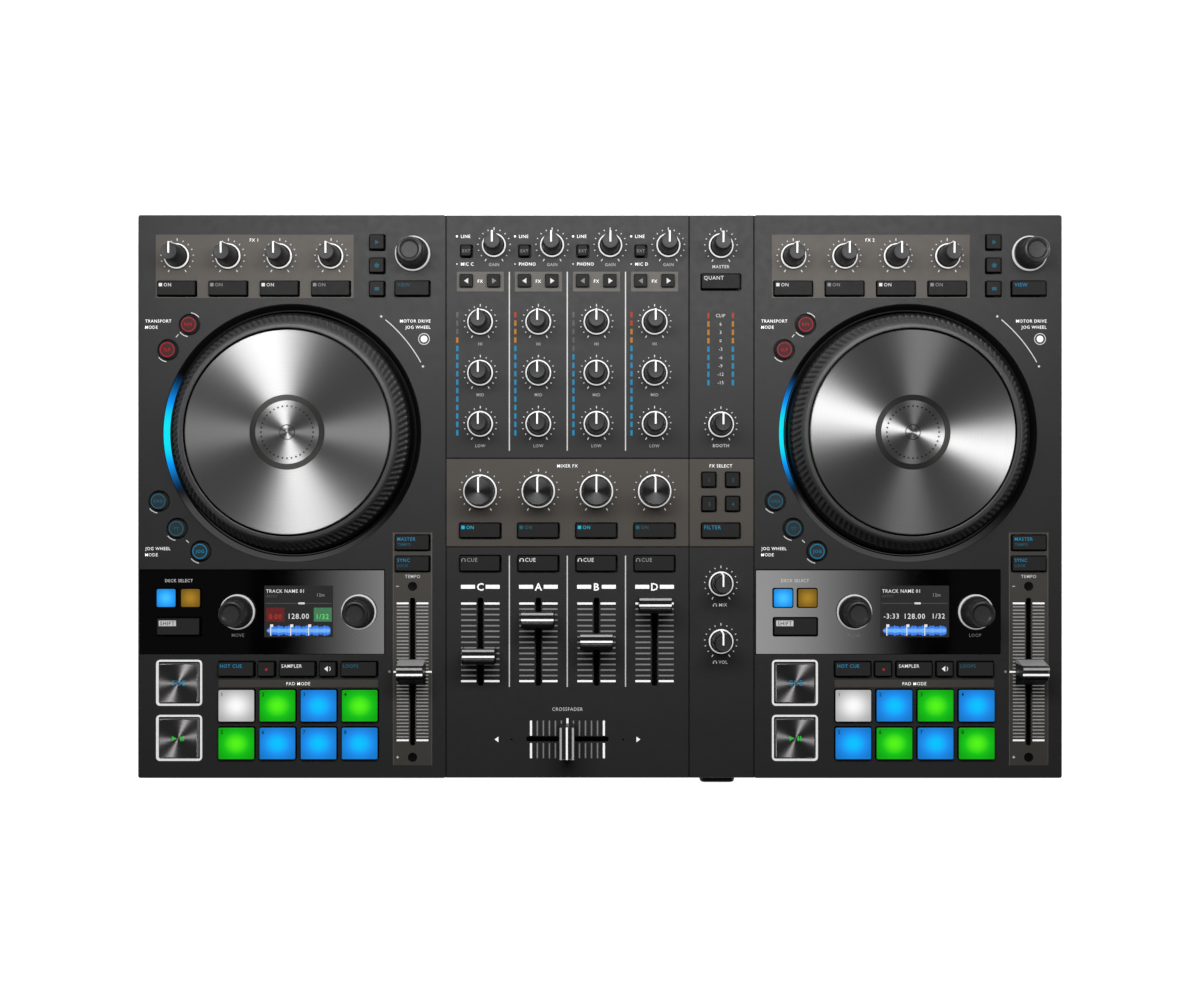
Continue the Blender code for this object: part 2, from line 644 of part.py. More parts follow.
def build_keymat(name, web, boxes, rounds, x=0.0):
    """A silicone sheet under the panel whose key tops stand up through it."""
    bm = bmesh.new()
    add_prism(bm, web, *WEB)
    mat = make_object(name, bm, SILICONE_FINISH, x)
    keys = bmesh.new()
    for key_x, key_y, width, depth in boxes:
        add_prism(keys, centred(key_x, key_y, width, depth), WEB[0] + 0.4, KEY_TOP)
    for key_x, key_y in rounds:
        add_prism(keys, circle(key_x, key_y, ROUND_KEY_RADIUS, 10), WEB[0] + 0.4, KEY_TOP)
    combine(mat, keys, "UNION")


def clear_scene():
    for obj in list(bpy.data.objects):
        bpy.data.objects.remove(obj)


def main():
    clear_scene()
    build_base_case()
    build_main_board()
    build_rear_io_panel()
    build_top_panel()
    for side, deck_x in DECKS.items():
        build_screen_glass(side, deck_x)
        build_jog_motor(side, deck_x)
        build_jog(side, deck_x)
        build_deck_knobs(side, deck_x)
        build_keymat("deck_keymat_" + side, DECK_WEB, deck_key_boxes(), round_key_spots(), deck_x)
    build_mixer_knobs()
    build_faders()
    build_keymat("mixer_keymat", mixer_web(), mixer_key_boxes(), [])


main()
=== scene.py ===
"""The looks of a four-channel DJ controller with two motorised jog wheels.

Lengths are in millimetres. Places are measured from the centre of the top panel,
heights from its upper surface, and a deck's places from the centre of that deck.
A control stands where its CAD node stands. Keys, meters and printed marks have
their places in the layout below, because they share one node or have none.
"""
import math

import bmesh
import bpy
from mathutils import Matrix, Vector
from mathutils.geometry import delaunay_2d_cdt


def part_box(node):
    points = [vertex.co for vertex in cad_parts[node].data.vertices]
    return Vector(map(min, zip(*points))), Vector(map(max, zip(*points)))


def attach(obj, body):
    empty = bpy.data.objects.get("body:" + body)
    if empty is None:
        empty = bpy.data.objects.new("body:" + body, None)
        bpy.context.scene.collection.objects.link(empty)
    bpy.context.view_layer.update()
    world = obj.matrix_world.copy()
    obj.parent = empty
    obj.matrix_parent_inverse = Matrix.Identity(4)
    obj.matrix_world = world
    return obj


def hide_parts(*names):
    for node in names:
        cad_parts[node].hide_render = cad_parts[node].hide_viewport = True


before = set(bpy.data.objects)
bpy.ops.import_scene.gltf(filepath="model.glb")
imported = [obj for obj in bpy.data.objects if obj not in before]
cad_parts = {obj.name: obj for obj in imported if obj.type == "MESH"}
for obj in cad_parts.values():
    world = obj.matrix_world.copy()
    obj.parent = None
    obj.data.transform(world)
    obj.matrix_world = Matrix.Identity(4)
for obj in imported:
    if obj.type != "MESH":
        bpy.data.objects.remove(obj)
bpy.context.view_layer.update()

MM = 0.001
TAU = 2 * math.pi


# ---- places read from the CAD model -----------------------------------------
def middle(node):
    """The middle of a CAD node's box in X and Y, in world millimetres."""
    low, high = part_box(node)
    return (low.x + high.x) / 2 / MM, (low.y + high.y) / 2 / MM


PANEL_LOW, PANEL_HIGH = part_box("top_panel")
ORIGIN_X, ORIGIN_Y = middle("top_panel")
PANEL_Z = PANEL_HIGH.z / MM
PANEL_W = (PANEL_HIGH.x - PANEL_LOW.x) / MM
PANEL_D = (PANEL_HIGH.y - PANEL_LOW.y) / MM
SIDES = ("left", "right")


def place(node):
    """The middle of a CAD node, measured from the centre of the top panel."""
    x, y = middle(node)
    return x - ORIGIN_X, y - ORIGIN_Y


def height(node):
    """How far a CAD node reaches above the top panel."""
    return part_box(node)[1].z / MM - PANEL_Z


DECK_X = {side: place("jog_plate_" + side)[0] for side in SIDES}
JOG_Y = place("jog_plate_left")[1]
JOG_TOP = height("jog_plate_left")
JOG_PLATE_R = (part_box("jog_plate_left")[1].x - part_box("jog_plate_left")[0].x) / 2 / MM
CHANNELS = ("c", "a", "b", "d")
CHANNEL_X = {name: place("mixer_fx_knob_" + name)[0] for name in CHANNELS}
SIDE_X = place("master_knob")[0]
KEY_TOP = height("mixer_keymat") + 0.15

# ---- layout -----------------------------------------------------------------
PLATE_THICK = 1.48                             # each plate that covers the panel
FRAME_THICK = 1.0                              # the dark frame under the plates
SEAM = 0.36
SEAM_X = PANEL_W / 6                           # between a deck and the mixer
SPLIT_X = 50.6                                 # between the channels and the side column
SPLIT_Y = (21.6, -28.7)                        # above and below the effects row
KEY_ROOM = 0.3                                 # an opening is this much larger than its key
KEY_SHRINK = 0.3                               # and the key this much smaller, on each side
KEY_FOOT = -2.2                                # where a key ends below the panel
KEY_SHIFT = (-0.2, 0.25)                       # towards the corner that the light comes from
PRINT = 1.6                                    # height of most printed words
INK = 0.05                                     # thickness of printed marks
WELL_R = 73.3
RIM_R = 67.8
GLASS = (-17.0, -65.7, 139.0, 47.8)            # x, y, width, depth
DISPLAY = (3.8, -65.3, 39.0, 29.3)
MOVE = (-30.7, -65.5)
LOOP = (38.2, -65.5)
FX_X = [place("fx_knob_left_%d" % n)[0] - DECK_X["left"] for n in (1, 2, 3, 4)]
FX_KNOBS = [(x, place("fx_knob_left_1")[1]) for x in FX_X]
FX_KEYS = [(x, 118.0, 22.2, 8.8) for x in FX_X]
BROWSE = (68.7, 137.9)
SHAFT_R = 3.9                                  # opening for a knob's shaft
INLAY = 0.12                                   # thickness of the printed areas
FX_STRIP = (-21.15, 130.75, 112.5, 36.1)
SMALL_KEYS = [(48.5, 117.8 + 13.2 * i, 8.7, 8.7) for i in range(3)]
VIEW_KEY = (68.5, 118.0, 19.8, 8.7)
SELECT_KEYS = [(-71.1, -57.6, 11.0, 10.5), (-57.3, -57.6, 11.0, 10.5)]
SHIFT_KEY = (-64.0, -74.0, 24.9, 10.2)
TRANSPORT = [(-64.2, y, 21.6, 21.5) for y in (-105.9, -137.2)]
MODE_Y = -98.1
MODE_DEPTH = 8.6
MODE_KEYS = [(-31.4, 20.8), (-14.2, 10.0), (3.4, 20.8), (20.7, 10.0), (38.3, 20.8)]
PADS = [(-31.3 + 23.33 * i, y, 20.6, 18.2) for y in (-118.7, -140.1) for i in range(4)]
SYNC_KEYS = [(68.6, y, 19.8, 9.0) for y in (-26.3, -38.3)]
ROUND_ORBIT = 84.8
ROUND_ANGLES = (133.4, 146.1, 207.1, 219.7, 232.3)
ROUND_R = 4.7
ROUND_ROOM = 6.0
TEMPO_X = 68.5
TEMPO_Y = -99.6
TEMPO_SLOT = 84.0
TEMPO_STRIP = (68.5, -86.6, 22.4, 132.4)
SLOT_W = 2.9
LINER_Z = -6.3                                 # shields under the fader slots
STEM_LOW = -5.7
FADER_SLOT = (-82.75, 50.1)                    # y of its middle, length
CROSS = place("crossfader")
CROSS_SLOT = 46.7
TEMPO_CAP = (15.4, 14.8)                       # length at its foot and at its top
CHANNEL_CAP = (18.6, 18.2)
TONES = {"high": "HI", "mid": "MID", "low": "LOW"}
ASSIGN_Y = 122.3
ASSIGN_X = (-7.7, 7.8)
MIXER_KEY_Y = -19.5
CUE_Y = -38.2
INPUT_KEY = (-7.8, 139.3)                      # from the middle of its channel
ON_KEY = (23.5, 8.6)
QUANT_KEY = (SIDE_X, 121.8, 22.3, 9.0)
FILTER_KEY = (SIDE_X, MIXER_KEY_Y, 21.9, 8.6)
SELECTORS = [(SIDE_X + dx, y, 8.1, 8.6) for y in (9.4, -4.3) for dx in (-6.8, 6.7)]
METER_Y = (36.2, 103.3)
MASTER_METER_X = (61.6, 75.5)
MASTER_METER_Y = (64.7, 102.8)


# ---- outlines: each returns a function of how far the outline is grown ------
def box_shape(x, y, width, depth, corner=0.8, steps=3):
    def outline(grow=0.0):
        half_w = width / 2 + grow
        half_d = depth / 2 + grow
        radius = min(max(corner + grow, 0.05), half_w, half_d)
        points = []
        for quarter, (sx, sy) in enumerate(((1, 1), (-1, 1), (-1, -1), (1, -1))):
            for i in range(steps + 1):
                angle = math.pi / 2 * (quarter + i / steps)
                points.append((x + sx * (half_w - radius) + radius * math.cos(angle),
                               y + sy * (half_d - radius) + radius * math.sin(angle)))
        return points
    return outline


def disc_shape(x, y, radius, sides=32):
    def outline(grow=0.0):
        spread = radius + grow
        return [(x + spread * math.cos(TAU * i / sides), y + spread * math.sin(TAU * i / sides))
                for i in range(sides)]
    return outline


def polygon_shape(points):
    """A convex outline; growing it moves each point out from the middle."""
    middle_x = sum(p[0] for p in points) / len(points)
    middle_y = sum(p[1] for p in points) / len(points)

    def outline(grow=0.0):
        grown = []
        for x, y in points:
            away = Vector((x - middle_x, y - middle_y))
            away *= 1 + grow / max(away.length, 0.01)
            grown.append((middle_x + away.x, middle_y + away.y))
        return grown
    return outline


def encloses(outline, spot):
    """Whether a point lies inside an outline."""
    odd = False
    for a, b in zip(outline, outline[1:] + outline[:1]):
        if (a.y > spot.y) != (b.y > spot.y):
            if spot.x < a.x + (b.x - a.x) * (spot.y - a.y) / (b.y - a.y):
                odd = not odd
    return odd


def at(x, y, z=0.0, turn=0.0, axis="Z"):
    """A frame at a point, turned about one axis by an angle in degrees."""
    return Matrix.Translation((x, y, z)) @ Matrix.Rotation(math.radians(turn), 4, axis)


# ---- words ------------------------------------------------------------------
WORD_CACHE = {}
WORD_SCALE = 1.14


def word_mesh(text, bold):
    """Vertices and faces of a word as a thin solid, one unit high at its capitals."""
    key = (text, bold)
    if key not in WORD_CACHE:
        curve = bpy.data.curves.new("word", "FONT")
        curve.body = text
        curve.offset = bold
        curve.extrude = 0.5
        curve.space_character = 1.14
        curve.resolution_u = 2
        obj = bpy.data.objects.new("word", curve)
        mesh = bpy.data.meshes.new_from_object(obj)
        bm = bmesh.new()
        bm.from_mesh(mesh)
        bmesh.ops.remove_doubles(bm, verts=bm.verts, dist=1e-4)
        bm.verts.index_update()
        capital = 0.7                          # height of a capital in the built-in font
        verts = [(v.co.x / capital, v.co.y / capital, v.co.z + 0.5) for v in bm.verts]
        faces = [[v.index for v in f.verts] for f in bm.faces]
        bm.free()
        bpy.data.objects.remove(obj)
        bpy.data.curves.remove(curve)
        bpy.data.meshes.remove(mesh)
        WORD_CACHE[key] = (verts, faces)
    return WORD_CACHE[key]


# ---- building a piece -------------------------------------------------------
class Piece:
    """Faces of one piece, each with a material, in millimetres about the piece's place."""

    def __init__(self):
        self.bm = bmesh.new()
        self.materials = []
        self.frame = Matrix.Identity(4)

    def vert(self, x, y, z):
        return self.bm.verts.new(self.frame @ Vector((x, y, z)))

    def face(self, verts, material):
        if material not in self.materials:
            self.materials.append(material)
        try:
            face = self.bm.faces.new(verts)
        except ValueError:                     # the same face twice
            return None
        face.material_index = self.materials.index(material)
        return face

    def ring(self, points, z):
        return [self.vert(x, y, z) for x, y in points]

    def skin(self, low, high, material):
        """Faces between two rings; a ring of one vertex is a tip."""
        count = max(len(low), len(high))
        for i in range(count):
            j = (i + 1) % count
            corners = [low[i % len(low)], low[j % len(low)], high[j % len(high)], high[i % len(high)]]
            unique = []
            for corner in corners:
                if corner not in unique:
                    unique.append(corner)
            if len(unique) > 2:
                self.face(unique, material)

    def loft(self, levels, material, top=None):
        """A closed solid over outlines of equal length, each with its height."""
        rings = [self.ring(points, z) for points, z in levels]
        for low, high in zip(rings, rings[1:]):
            self.skin(low, high, material)
        self.face(list(reversed(rings[0])), material)
        self.face(rings[-1], top or material)

    def block(self, shape, z0, z1, bevel, material, top=None):
        """A prism whose upper edge is rounded."""
        levels = [(shape(), z0), (shape(), z1 - bevel), (shape(-0.3 * bevel), z1 - 0.3 * bevel),
                  (shape(-bevel), z1)]
        self.loft(levels, material, top)

    def slab(self, shape, z0, z1, material):
        self.loft([(shape(), z0), (shape(), z1)], material)

    def mark(self, shape, material, z=0.0):
        """A printed mark: a very thin slab on a surface at height z."""
        self.slab(shape, z, z + INK, material)

    def plate(self, outer, holes, z0, z1, bevel, material):
        """A flat plate with holes and small bevels along its upper edges."""
        bottom = []
        top = []
        for shape, sign in [(outer, -1)] + [(hole, 1) for hole in holes]:
            rings = [self.ring(shape(), z0), self.ring(shape(), z1 - bevel),
                     self.ring(shape(sign * bevel), z1)]
            for low, high in zip(rings, rings[1:]):
                self.skin(low, high, material)
            bottom.append(rings[0])
            top.append(rings[-1])
        for loops in (bottom, top):
            self.fill(loops, material)

    def fill(self, loops, material):
        """Triangles inside the first loop of vertices and outside the others."""
        verts = [vert for loop in loops for vert in loop]
        back = self.frame.inverted()
        flat = [(back @ vert.co).to_2d() for vert in verts]
        outlines = []
        edges = []
        for loop in loops:
            first = sum(len(outline) for outline in outlines)
            count = len(loop)
            outlines.append(flat[first:first + count])
            edges += [(first + i, first + (i + 1) % count) for i in range(count)]
        made = delaunay_2d_cdt(flat, edges, [], 0, 1e-6)
        origin = [source[0] for source in made[3]]
        boxes = [(min(p.x for p in o), max(p.x for p in o), min(p.y for p in o), max(p.y for p in o))
                 for o in outlines]
        for triangle in made[2]:
            corners = [made[0][i] for i in triangle]
            spot = (corners[0] + corners[1] + corners[2]) / 3
            within = [encloses(outline, spot) for outline, box in zip(outlines, boxes)
                      if box[0] < spot.x < box[1] and box[2] < spot.y < box[3]]
            if encloses(outlines[0], spot) and sum(within) == 1:
                self.face([verts[origin[i]] for i in triangle], material)

    def turned(self, profile, sides, materials, closed=False):
        """Turn (radius, z) points about the Z axis, with one material or one for each step."""
        if not isinstance(materials, (list, tuple)):
            materials = [materials] * len(profile)
        rings = []
        for radius, z in profile:
            if radius < 1e-6:
                rings.append([self.vert(0, 0, z)])
            else:
                rings.append(self.ring(disc_shape(0, 0, radius, sides)(), z))
        pairs = list(zip(rings, rings[1:]))
        if closed:
            pairs.append((rings[-1], rings[0]))
        for (low, high), material in zip(pairs, materials):
            self.skin(low, high, material)
        if not closed:
            for end, material in ((0, materials[0]), (-1, materials[len(pairs) - 1])):
                if len(rings[end]) > 1:
                    self.face(list(rings[end]), material)

    def ribbon(self, path, width, material, lift=0.12, sink=0.15):
        """A thin strip of the given width along (y, z) points in the plane x = 0."""
        sections = []
        for i, (y, z) in enumerate(path):
            before = path[max(i - 1, 0)]
            after = path[min(i + 1, len(path) - 1)]
            along = Vector((after[0] - before[0], after[1] - before[1])).normalized()
            away = Vector((-along.y, along.x))
            half = width / 2
            high = (y + away.x * lift, z + away.y * lift)
            low = (y - away.x * sink, z - away.y * sink)
            sections.append([self.vert(-half, *low), self.vert(half, *low),
                             self.vert(half, *high), self.vert(-half, *high)])
        for one, two in zip(sections, sections[1:]):
            self.skin(one, two, material)
        self.face(sections[0], material)
        self.face(sections[-1], material)

    def arc(self, x, y, radius, start, end, width, material, z=0.0, steps=10):
        """A curved printed stroke about (x, y), between two angles in degrees."""
        points = []
        for side in (radius + width / 2, radius - width / 2):
            turn = [start + (end - start) * i / steps for i in range(steps + 1)]
            if side < radius:
                turn.reverse()
            points += [(x + side * math.cos(math.radians(a)), y + side * math.sin(math.radians(a)))
                       for a in turn]
        self.slab(lambda: points, z, z + INK, material)

    def words(self, text, x, y, size, material, z=0.0, align="centre", bold=0.004, squeeze=0.95):
        """A word `size` high at its capitals, its baseline half that below y."""
        size *= WORD_SCALE
        verts, faces = word_mesh(text, bold)
        left = min(v[0] for v in verts)
        right = max(v[0] for v in verts)
        start = {"left": left, "centre": (left + right) / 2, "right": right}[align]
        made = [self.vert(x + (vx - start) * size * squeeze, y + (vy - 0.5) * size, z + vz * INK)
                for vx, vy, vz in verts]
        for face in faces:
            self.face([made[i] for i in face], material)

    def done(self, name, body, x=0.0, y=0.0, z=0.0, replaces=(), smooth=20):
        """Make the object at (x, y, z) of the panel, riding on a body."""
        bmesh.ops.recalc_face_normals(self.bm, faces=self.bm.faces)
        bmesh.ops.scale(self.bm, vec=(MM, MM, MM), verts=self.bm.verts)
        mesh = bpy.data.meshes.new(name)
        self.bm.to_mesh(mesh)
        self.bm.free()
        for material in self.materials:
            mesh.materials.append(material)
        if smooth:
            mesh.shade_smooth()
            mesh.set_sharp_from_angle(angle=math.radians(smooth))
        obj = bpy.data.objects.new(name, mesh)
        bpy.context.scene.collection.objects.link(obj)
        obj.location = ((ORIGIN_X + x) * MM, (ORIGIN_Y + y) * MM, (PANEL_Z + z) * MM)
        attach(obj, body)
        if replaces:
            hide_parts(*replaces)
        return obj

    def stand_for(self, node, suffix):
        """Make the object in the place of a CAD node that has its own body."""
        x, y = place(node)
        self.done(node + suffix, node, x, y, replaces=[node])


# ---- materials --------------------------------------------------------------
def srgb(red, green, blue):
    """A colour of 0 to 255 as the linear values that a shader takes."""
    linear = []
    for value in (red, green, blue):
        value /= 255
        linear.append(value / 12.92 if value <= 0.04045 else ((value + 0.055) / 1.055) ** 2.4)
    return (*linear, 1.0)


def grey(value):
    return srgb(value, value, value)


class Recipe:
    """A material with its Principled shader, and short ways to add nodes to it."""

    def __init__(self, name, roughness=0.5, metallic=0.0, specular=0.5):
        self.material = bpy.data.materials.new(name)
        self.material.use_nodes = True
        self.tree = self.material.node_tree
        self.shader = self.tree.nodes["Principled BSDF"]
        self.shader.inputs["Roughness"].default_value = roughness
        self.shader.inputs["Metallic"].default_value = metallic
        self.shader.inputs["Specular IOR Level"].default_value = specular
        self.position = self.add("TexCoord").outputs["Object"]

    def add(self, kind, inputs=None, **settings):
        node = self.tree.nodes.new("ShaderNode" + kind)
        for key, value in settings.items():
            setattr(node, key, value)
        for key, value in (inputs or {}).items():
            self.feed(node.inputs[key], value)
        return node

    def feed(self, socket, value):
        if isinstance(value, bpy.types.NodeSocket):
            self.tree.links.new(value, socket)
        else:
            socket.default_value = value

    def set(self, name, value):
        self.feed(self.shader.inputs[name], value)

    def sum(self, operation, a, b=0.0):
        return self.add("Math", {0: a, 1: b}, operation=operation).outputs[0]

    def glow(self, colour, strength):
        self.set("Emission Color", colour)
        self.set("Emission Strength", strength)

    def noise(self, scale, detail=3.0, vector=None):
        vector = vector or self.position
        return self.add("TexNoise", {"Vector": vector, "Scale": scale, "Detail": detail}).outputs["Fac"]

    def ramp(self, value, stops):
        """A colour ramp through (place, colour) stops."""
        node = self.add("ValToRGB", {"Fac": value})
        elements = node.color_ramp.elements
        while len(elements) < len(stops):
            elements.new(0.5)
        for element, (spot, colour) in zip(elements, stops):
            element.position = spot
            element.color = colour
        return node.outputs["Color"]

    def blend(self, value, start_colour, end_colour, start=0.3, end=0.7):
        return self.ramp(value, [(start, start_colour), (end, end_colour)])

    def range(self, value, from_min, from_max, to_min, to_max, smooth=False):
        node = self.add("MapRange", {"Value": value, "From Min": from_min, "From Max": from_max,
                                     "To Min": to_min, "To Max": to_max})
        if smooth:
            node.interpolation_type = "SMOOTHSTEP"
        return node.outputs["Result"]

    def mix(self, factor, a, b):
        node = self.add("Mix", {0: factor, 6: a, 7: b}, data_type="RGBA")
        return node.outputs[2]

    def bump(self, heights, distance, strength=1.0):
        node = self.add("Bump", {"Height": heights, "Distance": distance, "Strength": strength})
        self.set("Normal", node.outputs["Normal"])

    def radius(self):
        """How far a point lies from the piece's own Z axis, in metres."""
        parts = self.add("SeparateXYZ", {"Vector": self.position}).outputs
        square = self.sum("ADD", self.sum("MULTIPLY", parts["X"], parts["X"]),
                          self.sum("MULTIPLY", parts["Y"], parts["Y"]))
        return self.sum("SQRT", square)


def shade(colour, factor):
    return tuple(channel * factor for channel in colour[:3]) + (1.0,)


def moulded(name, colour, roughness, grain=1800.0, depth=0.00002, spread=0.12, specular=0.5,
            metallic=0.0, glow=0):
    """Moulded or painted stock: faint clouding, a fine grain, and uneven gloss."""
    recipe = Recipe(name, roughness, metallic, specular)
    clouds = recipe.noise(35.0, 4.0)
    recipe.set("Base Color", recipe.blend(clouds, shade(colour, 1 - spread), shade(colour, 1 + spread)))
    recipe.set("Roughness", recipe.range(recipe.noise(220.0), 0.3, 0.7, roughness - 0.05,
                                         roughness + 0.05))
    recipe.bump(recipe.noise(grain, 2.0), depth, 0.5)
    # An even glow here is painted light, for stock that is no lamp.
    if glow:
        recipe.glow(grey(glow), 1.0)
    return recipe.material


LATHE_RINGS = 2600.0


def spun(name, colour, roughness, anisotropy):
    """Metal turned on a lathe: fine rings about the piece's axis."""
    recipe = Recipe(name, roughness, 1.0)
    recipe.set("Anisotropic", anisotropy)
    recipe.set("Anisotropic Rotation", 0.25)
    tangent = recipe.add("Tangent", direction_type="RADIAL", axis="Z")
    recipe.set("Tangent", tangent.outputs["Tangent"])
    line = recipe.add("CombineXYZ", {"X": recipe.radius()}).outputs[0]
    lines = recipe.noise(LATHE_RINGS, 3.0, line)
    recipe.set("Base Color", recipe.blend(lines, shade(colour, 0.86), shade(colour, 1.08), 0.25, 0.75))
    recipe.set("Roughness", recipe.range(lines, 0.25, 0.75, roughness - 0.03, roughness + 0.03))
    return recipe.material


def glowing(name, colour, strength, base=0.02):
    """A lit lens or lit print, a little uneven as a diffuser is."""
    recipe = Recipe(name, 0.5, specular=0.1)
    recipe.set("Base Color", (base, base, base, 1.0))
    unevenness = recipe.noise(400.0, 2.0)
    recipe.glow(recipe.blend(unevenness, shade(colour, 0.85), colour, 0.25, 0.75), strength)
    return recipe.material


def printed(name, value, strength):
    """Pale ink with a painted glow that keeps it bright in shade."""
    recipe = Recipe(name, 0.55)
    ink = recipe.blend(recipe.noise(500.0), grey(value - 6), grey(value))
    recipe.set("Base Color", ink)
    # The glow is painted light: the ink gives no light of its own.
    recipe.glow(ink, strength)
    return recipe.material


def pad_material(name, edge, centre, strength):
    """A translucent pad lit from under its middle."""
    recipe = Recipe(name, 0.5, specular=0.2)
    span = recipe.add("TexCoord").outputs["Generated"]
    centred = recipe.add("Mapping", {"Vector": span, "Location": (-0.5, -0.5, 0.0)}).outputs[0]
    flat = recipe.add("VectorMath", {0: centred, 1: (1.0, 1.0, 0.0)}, operation="MULTIPLY").outputs[0]
    away = recipe.add("VectorMath", {0: flat}, operation="LENGTH").outputs["Value"]
    glow = recipe.ramp(recipe.range(away, 0.0, 0.66, 0.0, 1.0, True),
                       [(0.0, centre), (0.55, edge), (1.0, shade(edge, 0.6))])
    recipe.set("Base Color", shade(edge, 0.25))
    recipe.glow(glow, strength)
    recipe.bump(recipe.noise(1500.0), 0.00002, 0.4)
    return recipe.material


def light_ring_material():
    """A smoked ring lens, lit blue round its left side, with a painted grey highlight on its lower left."""
    recipe = Recipe("ring_lens", 0.4, specular=0.1)
    recipe.set("Base Color", recipe.blend(recipe.noise(60.0), grey(14), grey(18)))
    parts = recipe.add("SeparateXYZ", {"Vector": recipe.position}).outputs
    minus_x = recipe.sum("MULTIPLY", parts["X"], -1.0)
    signed = recipe.sum("ARCTAN2", parts["Y"], minus_x)
    lit = recipe.range(recipe.sum("ABSOLUTE", signed), math.radians(3), math.radians(29), 1.0, 0.0, True)
    colour = recipe.ramp(lit, [(0.0, srgb(0, 0, 0)), (0.3, srgb(12, 98, 165)), (0.62, srgb(8, 150, 248)),
                               (1.0, srgb(15, 232, 248))])
    # The grey glow on the lower left is a painted highlight, where the rim shades the lens from the light.
    front = recipe.range(signed, math.radians(-150), math.radians(-95), 0.0, 1.0, True)
    beside = recipe.range(signed, math.radians(-24), math.radians(-38), 0.0, 1.0, True)
    haze = recipe.sum("MINIMUM", front, beside)
    recipe.glow(recipe.mix(haze, colour, srgb(70, 70, 70)), 1.0)
    return recipe.material


def rubber_material():
    """Jog rim rubber, paler towards the plate."""
    recipe = Recipe("jog_rubber", 0.42)
    toward_plate = recipe.range(recipe.radius(), 0.0600, 0.0665, 1.0, 0.0, True)
    radial_tone = recipe.mix(toward_plate, grey(40), grey(74))
    recipe.set("Base Color", recipe.mix(recipe.noise(80.0), radial_tone, grey(58)))
    recipe.bump(recipe.noise(2600.0), 0.00002, 0.6)
    return recipe.material


def glass_material():
    """Black glossy glass with the faintest haze."""
    recipe = Recipe("black_glass", 0.05)
    recipe.set("Base Color", recipe.blend(recipe.noise(50.0), (0.0006,) * 3 + (1,), (0.0012,) * 3 + (1,)))
    recipe.set("Roughness", recipe.range(recipe.noise(90.0), 0.3, 0.7, 0.04, 0.08))
    return recipe.material


def board_material():
    """Green solder mask over a maze of tracks."""
    recipe = Recipe("circuit_board", 0.4)
    cells = recipe.add("TexVoronoi", {"Vector": recipe.position, "Scale": 240.0},
                       feature="DISTANCE_TO_EDGE").outputs["Distance"]
    recipe.set("Base Color", recipe.blend(cells, srgb(40, 110, 60), srgb(12, 60, 34), 0.02, 0.06))
    recipe.bump(cells, 0.0001, 0.3)
    return recipe.material


PANEL = moulded("panel_paint", grey(54), 0.5, grain=2400.0, spread=0.03, specular=0.3)
FRAME = moulded("panel_frame_plastic", grey(14), 0.6)
TAUPE = moulded("taupe_print", srgb(96, 91, 86), 0.55, grain=2400.0, spread=0.03, specular=0.3)
BAND_TAUPE = moulded("taupe_band", srgb(87, 82, 77), 0.55, grain=2400.0, spread=0.03, specular=0.3)
PALE_TAUPE = moulded("pale_taupe_print", srgb(105, 102, 97), 0.55, spread=0.03, specular=0.3)
STRIP_EDGE = moulded("strip_edge", srgb(108, 104, 98), 0.45)
STRIP = moulded("tempo_strip_print", srgb(84, 81, 76), 0.55, spread=0.03, specular=0.3)
CASE = moulded("case_plastic", grey(30), 0.55, grain=1100.0, depth=0.00004)
# The keys' glow is painted light that keeps them evenly bright from rear to front.
KEY = moulded("key_silicone_painted_glow", srgb(16, 16, 15), 0.5, grain=2600.0, specular=0.12, glow=35)
# KEY_DARK is dark print, and also painted shade on the keys' sides and bevels.
KEY_DARK = moulded("key_side", grey(10), 0.6, specular=0.2)
KNOB = moulded("knob_plastic", grey(32), 0.4, grain=2600.0)
KNOB_TOP_PALE = moulded("knob_cap_grey", grey(59), 0.42, grain=2600.0, specular=0.3)
KNOB_TOP_DARK = moulded("knob_cap_dark", grey(63), 0.45, grain=2600.0, specular=0.3)
CAP = moulded("fader_cap", grey(46), 0.34)
FOOT = moulded("foot_rubber", grey(24), 0.8, grain=900.0, depth=0.00006)
BLACK = moulded("black_plastic", grey(10), 0.55, specular=0.15)
SCREW = moulded("screw_steel", grey(70), 0.3, metallic=1.0)
METAL_PLATE = spun("jog_metal", (0.60, 0.60, 0.60, 1.0), 0.38, 1.0)
METAL_GROOVE = spun("jog_groove", (0.09, 0.088, 0.085, 1.0), 0.4, 0.6)
METAL_KEY = spun("brushed_key", (0.26, 0.25, 0.25, 1.0), 0.38, 1.0)
METAL_KNOB = spun("spun_knob", (0.16, 0.16, 0.16, 1.0), 0.32, 0.85)
KNOB_EDGE = moulded("knob_edge", grey(120), 0.4, metallic=0.8, depth=0.000005)
NICKEL = moulded("socket_metal", grey(170), 0.25, metallic=1.0)
RCA_RED = moulded("socket_red", srgb(150, 20, 22), 0.4)
RCA_WHITE = moulded("socket_white", grey(215), 0.4)
GOLD = moulded("contact_gold", srgb(212, 170, 90), 0.3, metallic=1.0)
RUBBER = rubber_material()
GLASS_BLACK = glass_material()
BOARD = board_material()
MOTOR = spun("motor_can", (0.45, 0.45, 0.47, 1.0), 0.35, 0.5)
RING_LENS = light_ring_material()
LED_BLUE = glowing("led_blue", srgb(18, 140, 186), 0.95)
LED_CYAN = glowing("led_cyan", srgb(22, 185, 222), 0.95)
LED_DIM_BLUE = glowing("led_blue_dim", srgb(22, 98, 120), 0.9)
LED_TEAL = glowing("led_teal", srgb(15, 130, 172), 0.95)
LED_WHITE = glowing("led_white", grey(245), 0.95)
LED_DIM_WHITE = glowing("led_white_dim", grey(158), 0.85)
LED_ORANGE = glowing("led_orange", srgb(196, 128, 40), 0.95)
